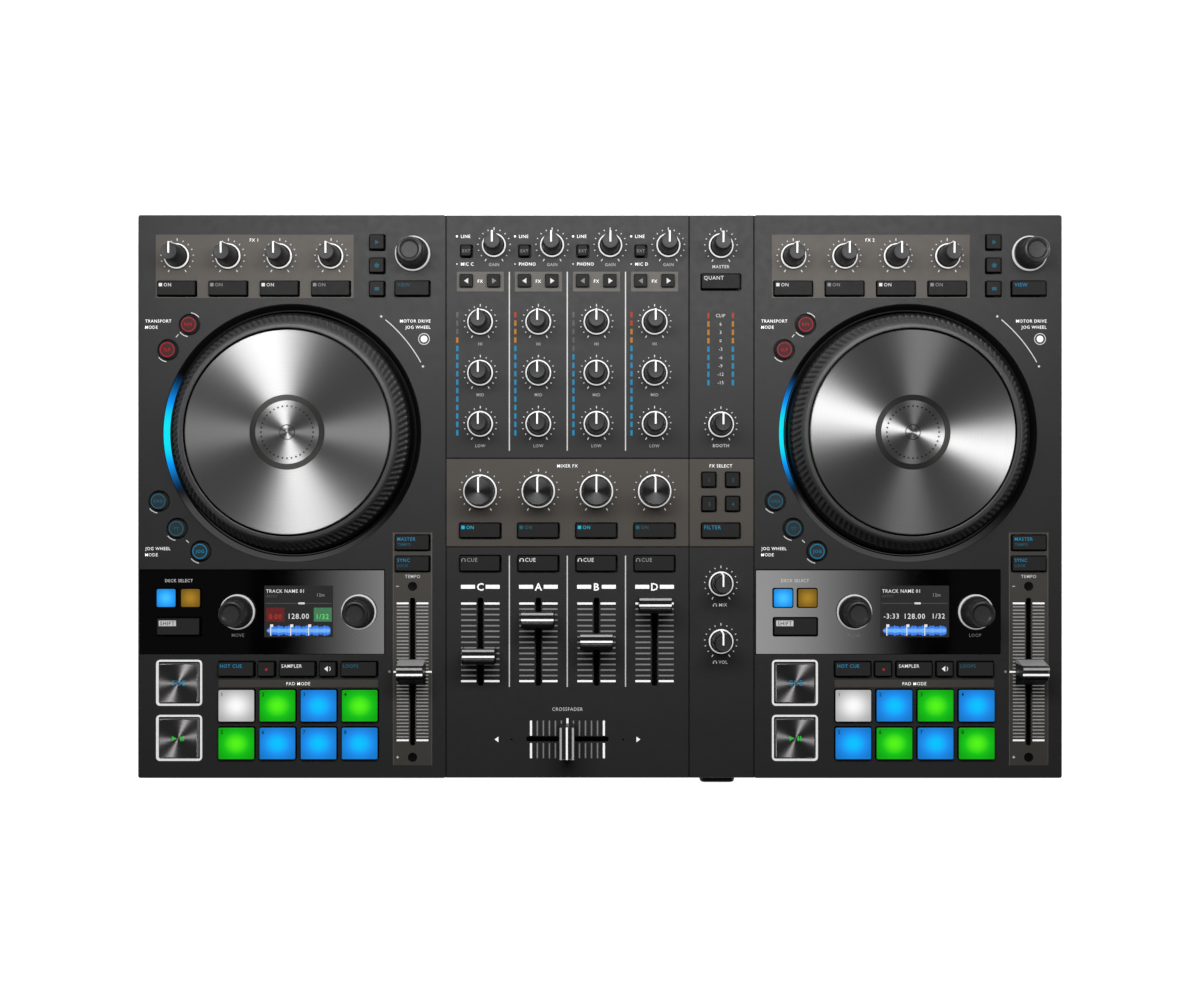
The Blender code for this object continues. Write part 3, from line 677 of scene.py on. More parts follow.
LED_RED = glowing("led_red", srgb(185, 62, 26), 0.95)
LED_DIM_RED = glowing("led_red_dim", srgb(185, 30, 46), 0.95)
RED_HAZE = glowing("red_haze", srgb(78, 24, 28), 0.9)
BLUE_HAZE = glowing("blue_haze", srgb(24, 46, 54), 0.9)
LED_GREEN = glowing("led_green", srgb(40, 200, 60), 0.95)
LED_OFF = moulded("led_off", grey(70), 0.4)
SCREEN = glowing("screen_backlight", grey(46), 0.9, base=0.004)
SCREEN_LINE = glowing("screen_line", grey(90), 0.9, base=0.004)
SCREEN_RED = glowing("screen_red", srgb(105, 22, 26), 0.95)
SCREEN_GREEN = glowing("screen_green", srgb(68, 130, 86), 0.95)
SCREEN_LIME = glowing("screen_lime", srgb(120, 235, 140), 0.95)
WAVE_BLUE = glowing("wave_blue", srgb(60, 130, 245), 1.0)
WAVE_PALE = glowing("wave_pale", srgb(130, 200, 255), 1.0)
FRAME_LIGHT = glowing("key_frame_light", grey(225), 0.9, base=0.3)
PAD_COLOURS = {
    "white": pad_material("pad_white", grey(205), grey(250), 0.95),
    "green": pad_material("pad_green", srgb(20, 190, 22), srgb(85, 245, 25), 0.95),
    "blue": pad_material("pad_blue", srgb(28, 140, 235), srgb(0, 195, 255), 0.95),
    "sky": pad_material("select_blue", srgb(40, 160, 250), srgb(70, 190, 255), 0.95),
    "ochre": pad_material("select_ochre", srgb(140, 105, 30), srgb(170, 130, 35), 0.9),
}


WHITE = printed("white_ink", 235, 0.7)
SOFT_WHITE = printed("soft_white_ink", 185, 0.6)
DIM = printed("dim_ink", 160, 0.5)
TICK_GREY = printed("grey_ink", 150, 0.45)
TICK_DARK = printed("faint_ink", 132, 0.38)
RING_WHITE = printed("ring_white", 232, 0.5)
CAP_GREY = printed("fader_cap_line", 172, 0.45)
# The tempo caps' pale rear slope is a painted highlight.
CAP_SLOPE_PAINTED_LIGHT = moulded("fader_cap_painted_lit_slope", grey(175), 0.45)
# Pale ink with a glow: a painted reflection standing in for a chrome base ring.
ENCODER_RING_PAINTED_SHINE = printed("encoder_ring_painted_shine", 205, 0.4)
ENCODER_RIM = moulded("encoder_rim", grey(52), 0.28, depth=0.000005)


# ---- the panel --------------------------------------------------------------
def orbit(angle, radius=ROUND_ORBIT):
    """A point round the jog wheel, from the deck's centre."""
    return radius * math.cos(math.radians(angle)), JOG_Y + radius * math.sin(math.radians(angle))


def slot_shape(x, y, length, upright=True, width=SLOT_W):
    size = (width, length) if upright else (length, width)
    return box_shape(x, y, *size, corner=width * 0.35)


def deck_keys():
    """A deck's plain keys as (x, y, width, depth)."""
    modes = [(x, MODE_Y, width, MODE_DEPTH) for x, width in MODE_KEYS]
    return FX_KEYS + SMALL_KEYS + [VIEW_KEY] + modes + SYNC_KEYS


def mixer_keys():
    """The mixer's keys as (x, y, width, depth)."""
    keys = [QUANT_KEY, FILTER_KEY] + SELECTORS
    for x in CHANNEL_X.values():
        keys.append((x + INPUT_KEY[0], INPUT_KEY[1], 6.5, 6.8))
        keys += [(x + dx, ASSIGN_Y, 8.1, 8.1) for dx in ASSIGN_X]
        keys += [(x, MIXER_KEY_Y, *ON_KEY), (x, CUE_Y, 23.2, 9.1)]
    return keys


def key_holes(keys, room, x=0.0, corner=0.9):
    """Openings for keys, larger than each key by `room` on every side."""
    return [box_shape(x + kx, ky, w + 2 * room, d + 2 * room, corner) for kx, ky, w, d in keys]


def shaft_holes(spots, x=0.0, sides=20):
    return [disc_shape(x + sx, sy, SHAFT_R, sides) for sx, sy in spots]


def deck_holes(x, room, round_room, frame_layer):
    """Openings of a deck's plate, or of the frame under it."""
    holes = key_holes(deck_keys(), room, x) + key_holes(PADS, room, x, 1.2)
    holes += shaft_holes(FX_KNOBS + [BROWSE], x)
    holes += [disc_shape(x + kx, ky, round_room, 32) for kx, ky in map(orbit, ROUND_ANGLES)]
    holes += [slot_shape(x + TEMPO_X, TEMPO_Y, TEMPO_SLOT), disc_shape(x, JOG_Y, WELL_R, 160)]
    if frame_layer:
        holes += shaft_holes((MOVE, LOOP), x)
        holes += key_holes(SELECT_KEYS + [SHIFT_KEY] + TRANSPORT, room, x)
    else:
        gx, gy, gw, gd = GLASS
        holes.append(box_shape(x + gx, gy, gw + 0.5, gd + 0.5, 0.4))
        holes += [box_shape(x + kx, ky, 26.2, 26.2, 2.2) for kx, ky, _, _ in TRANSPORT]
    return holes


def mixer_holes(room):
    """Openings of the mixer's plates, each with its middle."""
    keys = mixer_keys()
    shafts = [place(node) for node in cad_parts
              if "_knob" in node and not node.startswith("fx_knob")]
    holes = [(key[:2], hole) for key, hole in zip(keys, key_holes(keys, room))]
    holes += list(zip(shafts, shaft_holes(shafts)))
    holes += [((x, FADER_SLOT[0]), slot_shape(x, *FADER_SLOT)) for x in CHANNEL_X.values()]
    holes.append((CROSS, slot_shape(*CROSS, CROSS_SLOT, upright=False)))
    return holes


def inside(spot, rectangle):
    x, y, width, depth = rectangle
    return abs(spot[0] - x) < width / 2 and abs(spot[1] - y) < depth / 2


def mixer_cells():
    """The mixer's six plates as (x, y, width, depth, whether it is taupe)."""
    columns = ((-SEAM_X, SPLIT_X), (SPLIT_X, SEAM_X))
    rows = ((SPLIT_Y[0], PANEL_D / 2), (SPLIT_Y[1], SPLIT_Y[0]), (-PANEL_D / 2, SPLIT_Y[1]))
    cells = []
    for x0, x1 in columns:
        for row, (y0, y1) in enumerate(rows):
            cells.append(((x0 + x1) / 2, (y0 + y1) / 2, x1 - x0 - SEAM, y1 - y0 - SEAM, row == 1))
    return cells


def build_panel():
    under = Piece()
    holes = [hole for _, hole in mixer_holes(0.5)]
    for x in DECK_X.values():
        holes += deck_holes(x, 0.5, ROUND_R + 0.4, True)
    outer = box_shape(0, 0, PANEL_W, PANEL_D, 2.0, 5)
    under.plate(outer, holes, -PLATE_THICK - FRAME_THICK, -PLATE_THICK, 0.05, FRAME)
    under.done("panel_frame", "chassis", replaces=["top_panel"])
    build_slot_liners()

    for side, x in DECK_X.items():
        deck = Piece()
        width = PANEL_W / 2 - SEAM_X - SEAM / 2
        outward = 1 if x > 0 else -1
        middle_x = outward * (PANEL_W / 2 - width / 2)
        deck.plate(box_shape(middle_x, 0, width, PANEL_D, 1.2), deck_holes(x, KEY_ROOM, ROUND_ROOM, False),
                   -PLATE_THICK, 0, 0.25, PANEL)
        deck.done("deck_plate_" + side, "chassis")

    mixer = Piece()
    for x, y, width, depth, taupe in mixer_cells():
        finish = BAND_TAUPE if taupe else PANEL
        holes = [hole for spot, hole in mixer_holes(KEY_ROOM) if inside(spot, (x, y, width, depth))]
        mixer.plate(box_shape(x, y, width, depth, 0.4), holes, -PLATE_THICK, 0, 0.3, finish)
    mixer.done("mixer_plates", "chassis")


def build_slot_liners():
    """Dark dust shields under the fader slots."""
    piece = Piece()
    wide = 8.0
    shields = [(x, FADER_SLOT[0], wide, FADER_SLOT[1] + 4.0) for x in CHANNEL_X.values()]
    shields += [(x + TEMPO_X, TEMPO_Y, wide, TEMPO_SLOT + 4.0) for x in DECK_X.values()]
    shields.append((*CROSS, CROSS_SLOT + 4.0, wide))
    for shield in shields:
        piece.slab(box_shape(*shield, 0.5), LINER_Z, LINER_Z + 0.2, BLACK)
    piece.done("slot_liners", "chassis")


def build_inlays(side, x):
    """Thin printed areas of a deck, with the same openings as the plate."""
    piece = Piece()
    holes = key_holes(FX_KEYS, KEY_ROOM) + shaft_holes(FX_KNOBS)
    piece.plate(box_shape(*FX_STRIP, 0.3), holes, 0.0, INLAY, 0.06, TAUPE)
    holes = key_holes(SYNC_KEYS, KEY_ROOM) + [slot_shape(TEMPO_X, TEMPO_Y, TEMPO_SLOT)]
    piece.plate(box_shape(*TEMPO_STRIP, 0.3), holes, 0.0, INLAY, 0.06, STRIP)
    sx, sy, width, depth = TEMPO_STRIP
    for edge in (-1, 1):
        piece.slab(box_shape(sx + edge * (width / 2 - 0.25), sy, 0.5, depth, 0.1), INLAY, 0.2, STRIP_EDGE)
    piece.slab(box_shape(3.6, -106.2, 90.6, 4.3, 0.2), 0.0, INLAY, STRIP)
    for y in (-51.0, -148.1):
        add_recess_screw(piece, TEMPO_X, y)
    piece.done("deck_inlay_" + side, "chassis", x)


def add_recess_screw(piece, x, y):
    """A dark cross-head screw in a round recess."""
    piece.frame = at(x, y, INLAY)
    piece.turned([(2.6, 0.0), (2.6, 0.06), (2.2, 0.1), (1.9, 0.02), (0.0, 0.02)], 24, BLACK)
    for turn in (0, 90):
        piece.frame = at(x, y, 0.15, turn)
        piece.slab(box_shape(0, 0, 2.6, 0.5, 0.1), 0.0, 0.06, KEY_DARK)
    piece.frame = Matrix.Identity(4)


def build_well(side, x):
    """The black well round a jog wheel, and the lens that rings it."""
    floor = -8.5
    shelf = -3.4
    wall = 1.8
    lip = -0.25
    inner = 69.6
    under = -PLATE_THICK - FRAME_THICK
    well = Piece()
    well.turned([(WELL_R - 0.05, lip), (WELL_R - 0.05, shelf), (inner, shelf), (inner, floor),
                 (12.0, floor), (12.0, floor - wall), (inner + wall, floor - wall),
                 (inner + wall, shelf - wall), (WELL_R + wall, shelf - wall), (WELL_R + wall, under),
                 (WELL_R + 0.02, under), (WELL_R + 0.02, lip)], 160, BLACK, closed=True)
    well.done("jog_well_" + side, "chassis", x, JOG_Y)
    lens = Piece()
    lens.turned([(WELL_R - 0.15, -5.2), (WELL_R - 0.15, -0.6), (WELL_R - 0.5, -0.35), (72.3, -0.8),
                 (71.0, -2.3), (69.4, -4.9), (69.3, -5.2)], 160, RING_LENS, closed=True)
    lens.done("light_ring_" + side, "chassis", x, JOG_Y)


def build_glass(side, x):
    glass = Piece()
    holes = shaft_holes((MOVE, LOOP), sides=24) + key_holes(SELECT_KEYS + [SHIFT_KEY], KEY_ROOM)
    glass.plate(box_shape(*GLASS, 0.5), holes, -1.2, 0.0, 0.2, GLASS_BLACK)
    return glass.done("glass_" + side, "chassis", x, replaces=["screen_glass_" + side])


# ---- displays ---------------------------------------------------------------
WAVE_BARS = 52
WAVE_CUES = (3.6, 15.0, 25.2)                  # from the display's left edge


def add_wave(piece, left, y, span):
    """A wave of bright bars in darker ones, with flags over it."""
    pitch = span / WAVE_BARS
    for i in range(WAVE_BARS):
        loud = 0.8 + 0.12 * math.sin(i * 0.83) + 0.1 * math.sin(i * 2.17 + 1.0)
        if i < 3:
            loud *= 0.25 + 0.2 * i
        x = left + 1.5 + pitch * (i + 0.5)
        piece.mark(box_shape(x, y, pitch * 0.98, 5.6 * loud + 0.4, 0.05, 1), WAVE_BLUE, INK)
        piece.mark(box_shape(x, y, pitch * 0.7, 2.6 * loud, 0.05, 1), WAVE_PALE, 2 * INK)
    for cue in WAVE_CUES:
        piece.mark(box_shape(left + cue, y + 0.3, 0.5, 6.4, 0.05, 1), LED_WHITE, 3 * INK)
        piece.mark(box_shape(left + cue + 0.6, y + 2.8, 1.7, 1.5, 0.1), LED_WHITE, 3 * INK)


def build_display(side, x):
    """Lit picture elements that lie just over the glass."""
    piece = Piece()
    dx, dy, width, depth = DISPLAY
    left = dx - width / 2
    piece.mark(box_shape(dx, dy, width, depth, 0.3), SCREEN)
    piece.words("TRACK NAME 01", left + 1.0, dy + 11.6, 1.7, LED_WHITE, INK, "left")
    piece.words("ARTIST", left + 1.0, dy + 8.7, 1.2, SCREEN_LINE, INK, "left")
    piece.words("12m", left + 30.0, dy + 9.4, 1.6, LED_DIM_WHITE, INK, "left")
    piece.mark(box_shape(dx, dy + 4.6, 37.4, 0.35, 0.1), SCREEN_LINE, INK)
    piece.mark(box_shape(dx + 1.6, dy + 4.6, 3.6, 1.0, 0.2), LED_WHITE, INK)
    if side == "left":
        for offset, text, field, ink in ((6.2, "0:00", SCREEN_RED, LED_RED),
                                         (33.2, "1/32", SCREEN_GREEN, SCREEN_LIME)):
            piece.mark(box_shape(left + offset, dy - 1.8, 10.2, 7.9, 0.2), field, INK)
            piece.words(text, left + offset, dy - 2.9, 2.5, ink, 2 * INK)
    else:
        for offset, text in ((6.2, "-3:33"), (33.2, "1/32")):
            piece.words(text, left + offset, dy - 2.6, 2.5, LED_WHITE, INK)
    piece.words("128.00", left + 19.6, dy - 2.7, 2.6, LED_WHITE, INK)
    add_wave(piece, left, dy - 10.9, width - 3.0)
    piece.done("display_" + side, "chassis", x, smooth=0)


# ---- jog wheels -------------------------------------------------------------
RIDGES = 120
RIDGE_STEPS = 8
RIDGE_ROWS = 12
RIDGE_DEPTH = 1.5


def rim_surface(piece, low, high):
    """The rim's sloped flank with slanted ridges, as rings from `low` up to `high`."""
    rings = []
    count = RIDGES * RIDGE_STEPS
    for row in range(RIDGE_ROWS + 1):
        t = row / RIDGE_ROWS
        radius = low[0] + (high[0] - low[0]) * t
        z = low[1] + (high[1] - low[1]) * t
        depth = RIDGE_DEPTH * max(0.0, math.sin(math.pi * min(max((t - 0.1) / 0.74, 0), 1))) ** 0.5
        ring = []
        for i in range(count):
            phase = (i / RIDGE_STEPS + 1.25 * t) % 1.0
            tooth = phase / 0.7 if phase < 0.7 else (1 - phase) / 0.3
            sink = depth * (1 - tooth)
            angle = TAU * i / count
            inward = radius - sink * 0.78
            ring.append(piece.vert(inward * math.cos(angle), inward * math.sin(angle), z - sink * 0.62))
        rings.append(ring)
    for row, (one, two) in enumerate(zip(rings, rings[1:])):
        piece.skin(one, two, RUBBER if row > 1 else BLACK)
    return rings[0], rings[-1], count


def build_jog_rim(side, x):
    piece = Piece()
    bottom, top, count = rim_surface(piece, (RIM_R - 0.1, 3.0), (61.0, JOG_TOP - 0.6))
    inner = [(60.4, JOG_TOP - 0.1), (59.9, JOG_TOP), (58.75, JOG_TOP), (58.4, JOG_TOP - 0.3),
             (58.3, JOG_TOP - 2.6), (10.0, JOG_TOP - 2.6), (10.0, JOG_TOP - 5.6), (62.8, JOG_TOP - 5.6),
             (62.8, -7.8), (RIM_R - 0.6, -7.8), (RIM_R, -7.2), (RIM_R, 2.6)]
    ring = top
    for radius, z in inner:
        after = piece.ring(disc_shape(0, 0, radius, count)(), z)
        piece.skin(ring, after, RUBBER if z > JOG_TOP - 2 else BLACK)
        ring = after
    piece.skin(ring, bottom, BLACK)
    return piece.done("jog_rim_detail_" + side, "jog_" + side, x, JOG_Y,
                      replaces=["jog_rim_" + side])


STROBE_DOTS = 36
GROOVE = (17.8, 21.0)


def build_jog_plate(side, x):
    piece = Piece()
    top = JOG_TOP
    inner, outer = GROOVE
    profile = [(9.0, -7.5), (9.0, top - 2.3), (JOG_PLATE_R - 0.2, top - 2.3), (JOG_PLATE_R, top - 2.0),
               (JOG_PLATE_R, top - 0.5), (JOG_PLATE_R - 0.15, top - 0.15), (JOG_PLATE_R - 0.5, top),
               (outer + 0.08, top), (outer, top - 0.12), (inner, top - 0.12), (inner - 0.08, top),
               (4.4, top), (4.3, top - 0.1), (3.9, top - 0.1), (3.8, top), (2.2, top), (1.6, top - 0.35),
               (0.0, top - 0.55)]
    finishes = [METAL_PLATE] * len(profile)
    finishes[8] = METAL_GROOVE
    finishes[12] = METAL_GROOVE
    piece.turned(profile, 192, finishes)
    for i in range(STROBE_DOTS):
        angle = TAU * i / STROBE_DOTS
        piece.mark(disc_shape(14.6 * math.cos(angle), 14.6 * math.sin(angle), 0.55, 12),
                   METAL_GROOVE, top - 0.01)
    return piece.done("jog_plate_detail_" + side, "jog_" + side, x, JOG_Y,
               replaces=["jog_plate_" + side])


# ---- knobs ------------------------------------------------------------------
KNOB_SIDES = 48
SHAFT = [(3.0, -6.0), (3.0, 0.6)]              # radius and height, below every knob
POINTER_W = 0.9


def pick_ring(piece, radius, reach, z):
    """A ring of vertices: a circle drawn out to a point at +Y."""
    lobe = math.acos(radius / reach)
    points = []
    for x, y in disc_shape(0, 0, radius, KNOB_SIDES)():
        off = abs(math.atan2(x, y))
        swell = 1 / math.cos(lobe - off) if off < lobe else 1.0
        points.append((x * swell, y * swell))
    return piece.ring(points, z)


def build_small_knob(node, cap, skirt=7.4):
    """A tall knob on a white ring: its beak carries a pointer from the top down its side."""
    piece = Piece()
    top = height(node)
    base = SHAFT + [(skirt - 0.3, 0.6), (skirt, 0.85), (skirt, 1.35), (skirt - 0.1, 1.55),
                    (skirt - 0.85, 2.2)]
    flank = [(skirt - 1.5, skirt - 0.7, 3.0), (skirt - 1.75, skirt - 0.85, 4.2), (5.1, 6.1, 9.0),
             (4.6, 5.75, top - 1.4), (4.4, 5.6, top - 0.5)]
    crown = [(4.2, 5.4, top - 0.12), (3.95, 5.15, top), (3.5, 4.5, top - 0.08)]
    rings = [piece.ring(disc_shape(0, 0, radius, KNOB_SIDES)(), z) for radius, z in base]
    rings += [pick_ring(piece, *step) for step in flank + crown]
    rings.append([piece.vert(0, 0, top - 0.16)])
    for step, (low, high) in enumerate(zip(rings, rings[1:])):
        finish = KNOB
        if step == len(base) - 2:
            finish = RING_WHITE
        elif step > len(base) + len(flank) - 2:
            finish = cap
        piece.skin(low, high, finish)
    piece.face(list(rings[0]), KNOB)
    side = [(reach, z) for _, reach, z in flank + crown[:2]]
    piece.ribbon([(-0.7, top - 0.1)] + side[::-1] + [(skirt - 0.2, 1.7)], POINTER_W, WHITE)
    piece.stand_for(node, "_detail")


def build_wide_knob(node):
    """A mixer effect knob: white ring, dark wall, and a spun metal top."""
    top = height(node)
    piece = Piece()
    flank = [(8.7, 2.3), (8.2, 3.0), (8.05, 5.0), (7.8, top - 1.0)]
    crown = [(7.6, top - 0.3), (7.3, top)]
    profile = SHAFT + [(9.3, 0.6), (9.6, 0.85), (9.6, 1.4), (9.5, 1.6)]
    profile += flank + crown + [(0.9, top - 0.15), (0.0, top - 0.25)]
    finishes = [KNOB] * 5 + [RING_WHITE] + [KNOB] * 4 + [KNOB_EDGE] + [METAL_KNOB] * 2
    piece.turned(profile, KNOB_SIDES, finishes)
    path = [(-0.6, top - 0.2), (7.2, top)] + list(reversed(flank + crown[:1])) + [(9.3, 1.75)]
    piece.ribbon(path, POINTER_W, WHITE)
    piece.stand_for(node, "_detail")


def build_encoder(node):
    """A push encoder: a base ring painted bright as the shine of chrome, a waisted body and a dished top."""
    top = height(node)
    piece = Piece()
    base = [(9.7, 0.6), (10.0, 0.9), (10.0, 1.7), (9.85, 2.1), (9.2, 2.5)]
    body = [(8.6, 2.8), (7.6, 5.0), (7.1, 8.0), (7.0, 10.5), (7.3, top - 2.4)]
    crown = [(7.4, top - 1.6), (7.2, top - 0.8), (6.7, top - 0.2), (6.1, top), (5.6, top - 0.1),
             (5.0, top - 0.7), (4.5, top - 1.1), (4.2, top - 1.15), (0.0, top - 1.1)]
    profile = SHAFT + base + body + crown
    finishes = [KNOB] * 3 + [ENCODER_RING_PAINTED_SHINE] * 3 + [KNOB] * 6 + [ENCODER_RIM] * 6 + [KNOB_TOP_DARK] * 2
    piece.turned(profile, KNOB_SIDES, finishes)
    piece.stand_for(node, "_detail")


def build_knobs():
    for side in SIDES:
        for number in (1, 2, 3, 4):
            build_small_knob("fx_knob_%s_%d" % (side, number), KNOB_TOP_DARK, 7.3)
        for kind in ("browse", "move", "loop"):
            build_encoder("%s_encoder_%s" % (kind, side))
    for name in CHANNELS:
        for band in TONES:
            build_small_knob("%s_knob_%s" % (band, name), KNOB_TOP_PALE)
        build_small_knob("gain_knob_" + name, KNOB_TOP_PALE, 6.9)
        build_wide_knob("mixer_fx_knob_" + name)
    build_small_knob("master_knob", KNOB_TOP_PALE, 7.1)
    build_small_knob("booth_knob", KNOB_TOP_PALE)
    build_small_knob("cue_mix_knob", KNOB_TOP_DARK, 7.1)
    build_small_knob("cue_volume_knob", KNOB_TOP_DARK, 7.1)


# ---- faders -----------------------------------------------------------------
def cap_sections(piece, profile, length, top_length, finishes):
    """A cap on its stem, over (y, z) profile points; its ends slope, and steps have their finish."""
    base = profile[0][1]

    def section(x, share):
        return [piece.vert(x, y, base + (z - base) * share) for y, z in profile]

    half = length / 2
    top_half = top_length / 2
    rows = [section(-half, 0.1), section(-half + 0.25, 0.2), section(-top_half, 0.96),
            section(-top_half + 0.5, 1.0), section(top_half - 0.5, 1.0), section(top_half, 0.96),
            section(half - 0.25, 0.2), section(half, 0.1)]
    count = len(profile)
    for one, two in zip(rows, rows[1:]):
        for i in range(count):
            j = (i + 1) % count
            piece.face([one[i], one[j], two[j], two[i]], finishes.get(i, CAP))
    piece.face(rows[0], CAP)
    piece.face(rows[-1], CAP)
    piece.slab(box_shape(0, 0, 1.7, 4.4, 0.3), STEM_LOW, base + 0.2, BLACK)


def add_cap_line(piece, y, z, length, width, material):
    piece.slab(box_shape(0, y, length, width, 0.2), z - 0.1, z + 0.1, material)


def build_channel_cap(node, turned=False):
    """A cap that narrows towards its base, with printed lines on its ridges and its middle; a channel cap's
    front half is painted black as shade.
    """
    top = height(node)
    piece = Piece()
    if turned:
        piece.frame = at(0, 0, 0, 90)
    length, top_length = CHANNEL_CAP
    profile = [(-3.0, 1.0), (-3.4, 2.4), (-4.5, top - 2.4), (-4.5, top - 0.9), (-4.1, top - 0.2),
               (-2.6, top), (-1.7, top - 0.5), (-0.9, top - 0.75), (0.9, top - 0.75), (1.7, top - 0.5),
               (2.6, top), (4.1, top - 0.2), (4.5, top - 0.9), (4.5, top - 2.4), (3.4, 2.4), (3.0, 1.0)]
    # Painted shade: a channel cap's front half is black, as it faces away from the light.
    finishes = {} if turned else {step: BLACK for step in range(6)}
    cap_sections(piece, profile, length, top_length, finishes)
    add_cap_line(piece, 3.4, top - 0.08, top_length - 0.2, 1.15, CAP_GREY)
    add_cap_line(piece, 0.0, top - 0.7, top_length - 0.1, 1.1, WHITE)
    if turned:
        add_cap_line(piece, -3.4, top - 0.08, top_length - 0.2, 1.15, CAP_GREY)
    piece.stand_for(node, "_cap")


def build_tempo_cap(node):
    """A long cap with a pale slope behind its lines and a dark one in front: a painted highlight and painted
    shade.
    """
    top = height(node)
    piece = Piece()
    length, top_length = TEMPO_CAP
    profile = [(-7.2, 1.0), (-7.2, 2.2), (-3.0, top - 1.2), (-1.5, top - 0.75), (1.6, top - 0.75),
               (2.3, top - 0.2), (2.7, top), (4.0, top - 0.1), (4.5, top - 0.6), (5.0, top - 1.6),
               (7.2, 2.4), (7.2, 1.0)]
    # Black front steps are painted shade; the pale rear slope is a painted highlight.
    cap_sections(piece, profile, length, top_length, {1: BLACK, 2: BLACK, 9: CAP_SLOPE_PAINTED_LIGHT})
    add_cap_line(piece, 3.3, top - 0.04, top_length - 0.2, 1.2, CAP_GREY)
    add_cap_line(piece, 0.0, top - 0.7, top_length - 0.1, 1.2, WHITE)
    piece.stand_for(node, "_cap")


def build_faders():
    for name in CHANNELS:
        build_channel_cap("channel_fader_" + name)
    build_channel_cap("crossfader", turned=True)
    for side in SIDES:
        build_tempo_cap("tempo_fader_" + side)


# ---- keys -------------------------------------------------------------------
def add_key(piece, x, y, width, depth, material=KEY, corner=0.7):
    shape = box_shape(x + KEY_SHIFT[0], y + KEY_SHIFT[1], width - 2 * KEY_SHRINK,
                      depth - 2 * KEY_SHRINK, corner)
    # Sides and bevel in KEY_DARK are painted shade; the top takes the key's own material.
    piece.block(shape, KEY_FOOT, KEY_TOP, 0.35, KEY_DARK, top=material)


def add_lit_words(piece, key, text, material, size=1.7, lamp=None, inset=1.4):
    """Words in a key's upper left corner, after an optional square lamp."""
    x, y, width, depth = key
    left = x - width / 2 + inset
    line = y + depth / 2 - 2.3
    if lamp:
        piece.mark(box_shape(left + 0.7, line, 1.9, 1.9, 0.2), lamp, KEY_TOP)
        left += 2.6
    piece.words(text, left, line, size, material, KEY_TOP, "left")


def add_headphones(piece, x, y, size, material, z):
    """A headphone sign: a band with two ear cushions."""
    piece.arc(x, y - size * 0.15, size * 0.5, 0, 180, size * 0.16, material, z)
    for ear in (-1, 1):
        cushion = box_shape(x + ear * size * 0.44, y - size * 0.25, size * 0.26, size * 0.42, 0.1)
        piece.mark(cushion, material, z)


def small_key_sign(sign, x, y):
    """The outline of a sign on a small browse key."""
    if sign == "play":
        return polygon_shape([(x - 1.0, y - 1.3), (x + 1.3, y), (x - 1.0, y + 1.3)])
    if sign == "star":
        return polygon_shape([(x + 1.5 * math.cos(TAU * (i / 5 + 1 / 4)),
                               y + 1.5 * math.sin(TAU * (i / 5 + 1 / 4))) for i in range(5)])
    return box_shape(x, y, 2.6, 1.9, 0.3)


def add_shift_word(piece):
    """Dark letters on a pale field in the shift key's upper left corner."""
    x, y, width, depth = SHIFT_KEY
    field = (x - width / 2 + 6.2, y + depth / 2 - 3.0)
    piece.mark(box_shape(*field, 9.8, 3.2, 0.2), SOFT_WHITE, KEY_TOP)
    piece.words("SHIFT", *field, 1.9, KEY_DARK, KEY_TOP + INK)


def add_mode_signs(piece):
    """Words on three of the mode keys, a dot and a loudspeaker on the others."""
    modes = [("HOT CUE", LED_BLUE), None, ("SAMPLER", LED_WHITE), None, ("LOOPS", LED_DIM_BLUE)]
    for (x, width), mode in zip(MODE_KEYS, modes):
        if mode:
            add_lit_words(piece, (x, MODE_Y, width, MODE_DEPTH), *mode)
    piece.mark(disc_shape(MODE_KEYS[1][0], MODE_Y, 0.7, 16), LED_DIM_RED, KEY_TOP)
    x = MODE_KEYS[3][0]
    y = MODE_Y + 0.4
    piece.mark(polygon_shape([(x - 2.0, y), (x, y - 1.6), (x, y + 1.6)]), LED_WHITE, KEY_TOP)
    piece.arc(x - 0.2, y, 1.6, -45, 45, 0.35, LED_WHITE, KEY_TOP, 5)


def build_deck_keys(side, x):
    piece = Piece()
    body = "deck_keymat_" + side
    for key in deck_keys() + [SHIFT_KEY]:
        add_key(piece, *key)
    for number, key in enumerate(FX_KEYS):
        ink = LED_WHITE if number % 2 == 0 else LED_DIM_WHITE
        add_lit_words(piece, key, "ON", ink, lamp=ink)
    for (kx, ky, _, _), sign in zip(SMALL_KEYS, ("list", "star", "play")):
        piece.mark(small_key_sign(sign, kx, ky), LED_DIM_BLUE, KEY_TOP)
    add_lit_words(piece, VIEW_KEY, "VIEW", LED_DIM_BLUE if side == "left" else LED_BLUE, 1.8)
    for key, word, lower in zip(SYNC_KEYS, ("MASTER", "SYNC"), ("TEMPO", "LOCK")):
        add_lit_words(piece, key, word, LED_BLUE)
        piece.words(lower, key[0] - 8.5, key[1] - 0.9, 1.4, LED_DIM_BLUE, KEY_TOP, "left")
    add_shift_word(piece)
    add_mode_signs(piece)
    for index, angle in enumerate(ROUND_ANGLES):
        add_round_key(piece, angle, index)
    piece.done("deck_keys_" + side, body, x, replaces=[body])
    for index, (spot, colour) in enumerate(zip(SELECT_KEYS, ("sky", "ochre")), 1):
        build_lit_key("deck_select_%s_%d" % (side, index), body, x, spot, PAD_COLOURS[colour])


ROUND_WORDS = ("REV", "SLP", "GRD", "TT", "JOG")


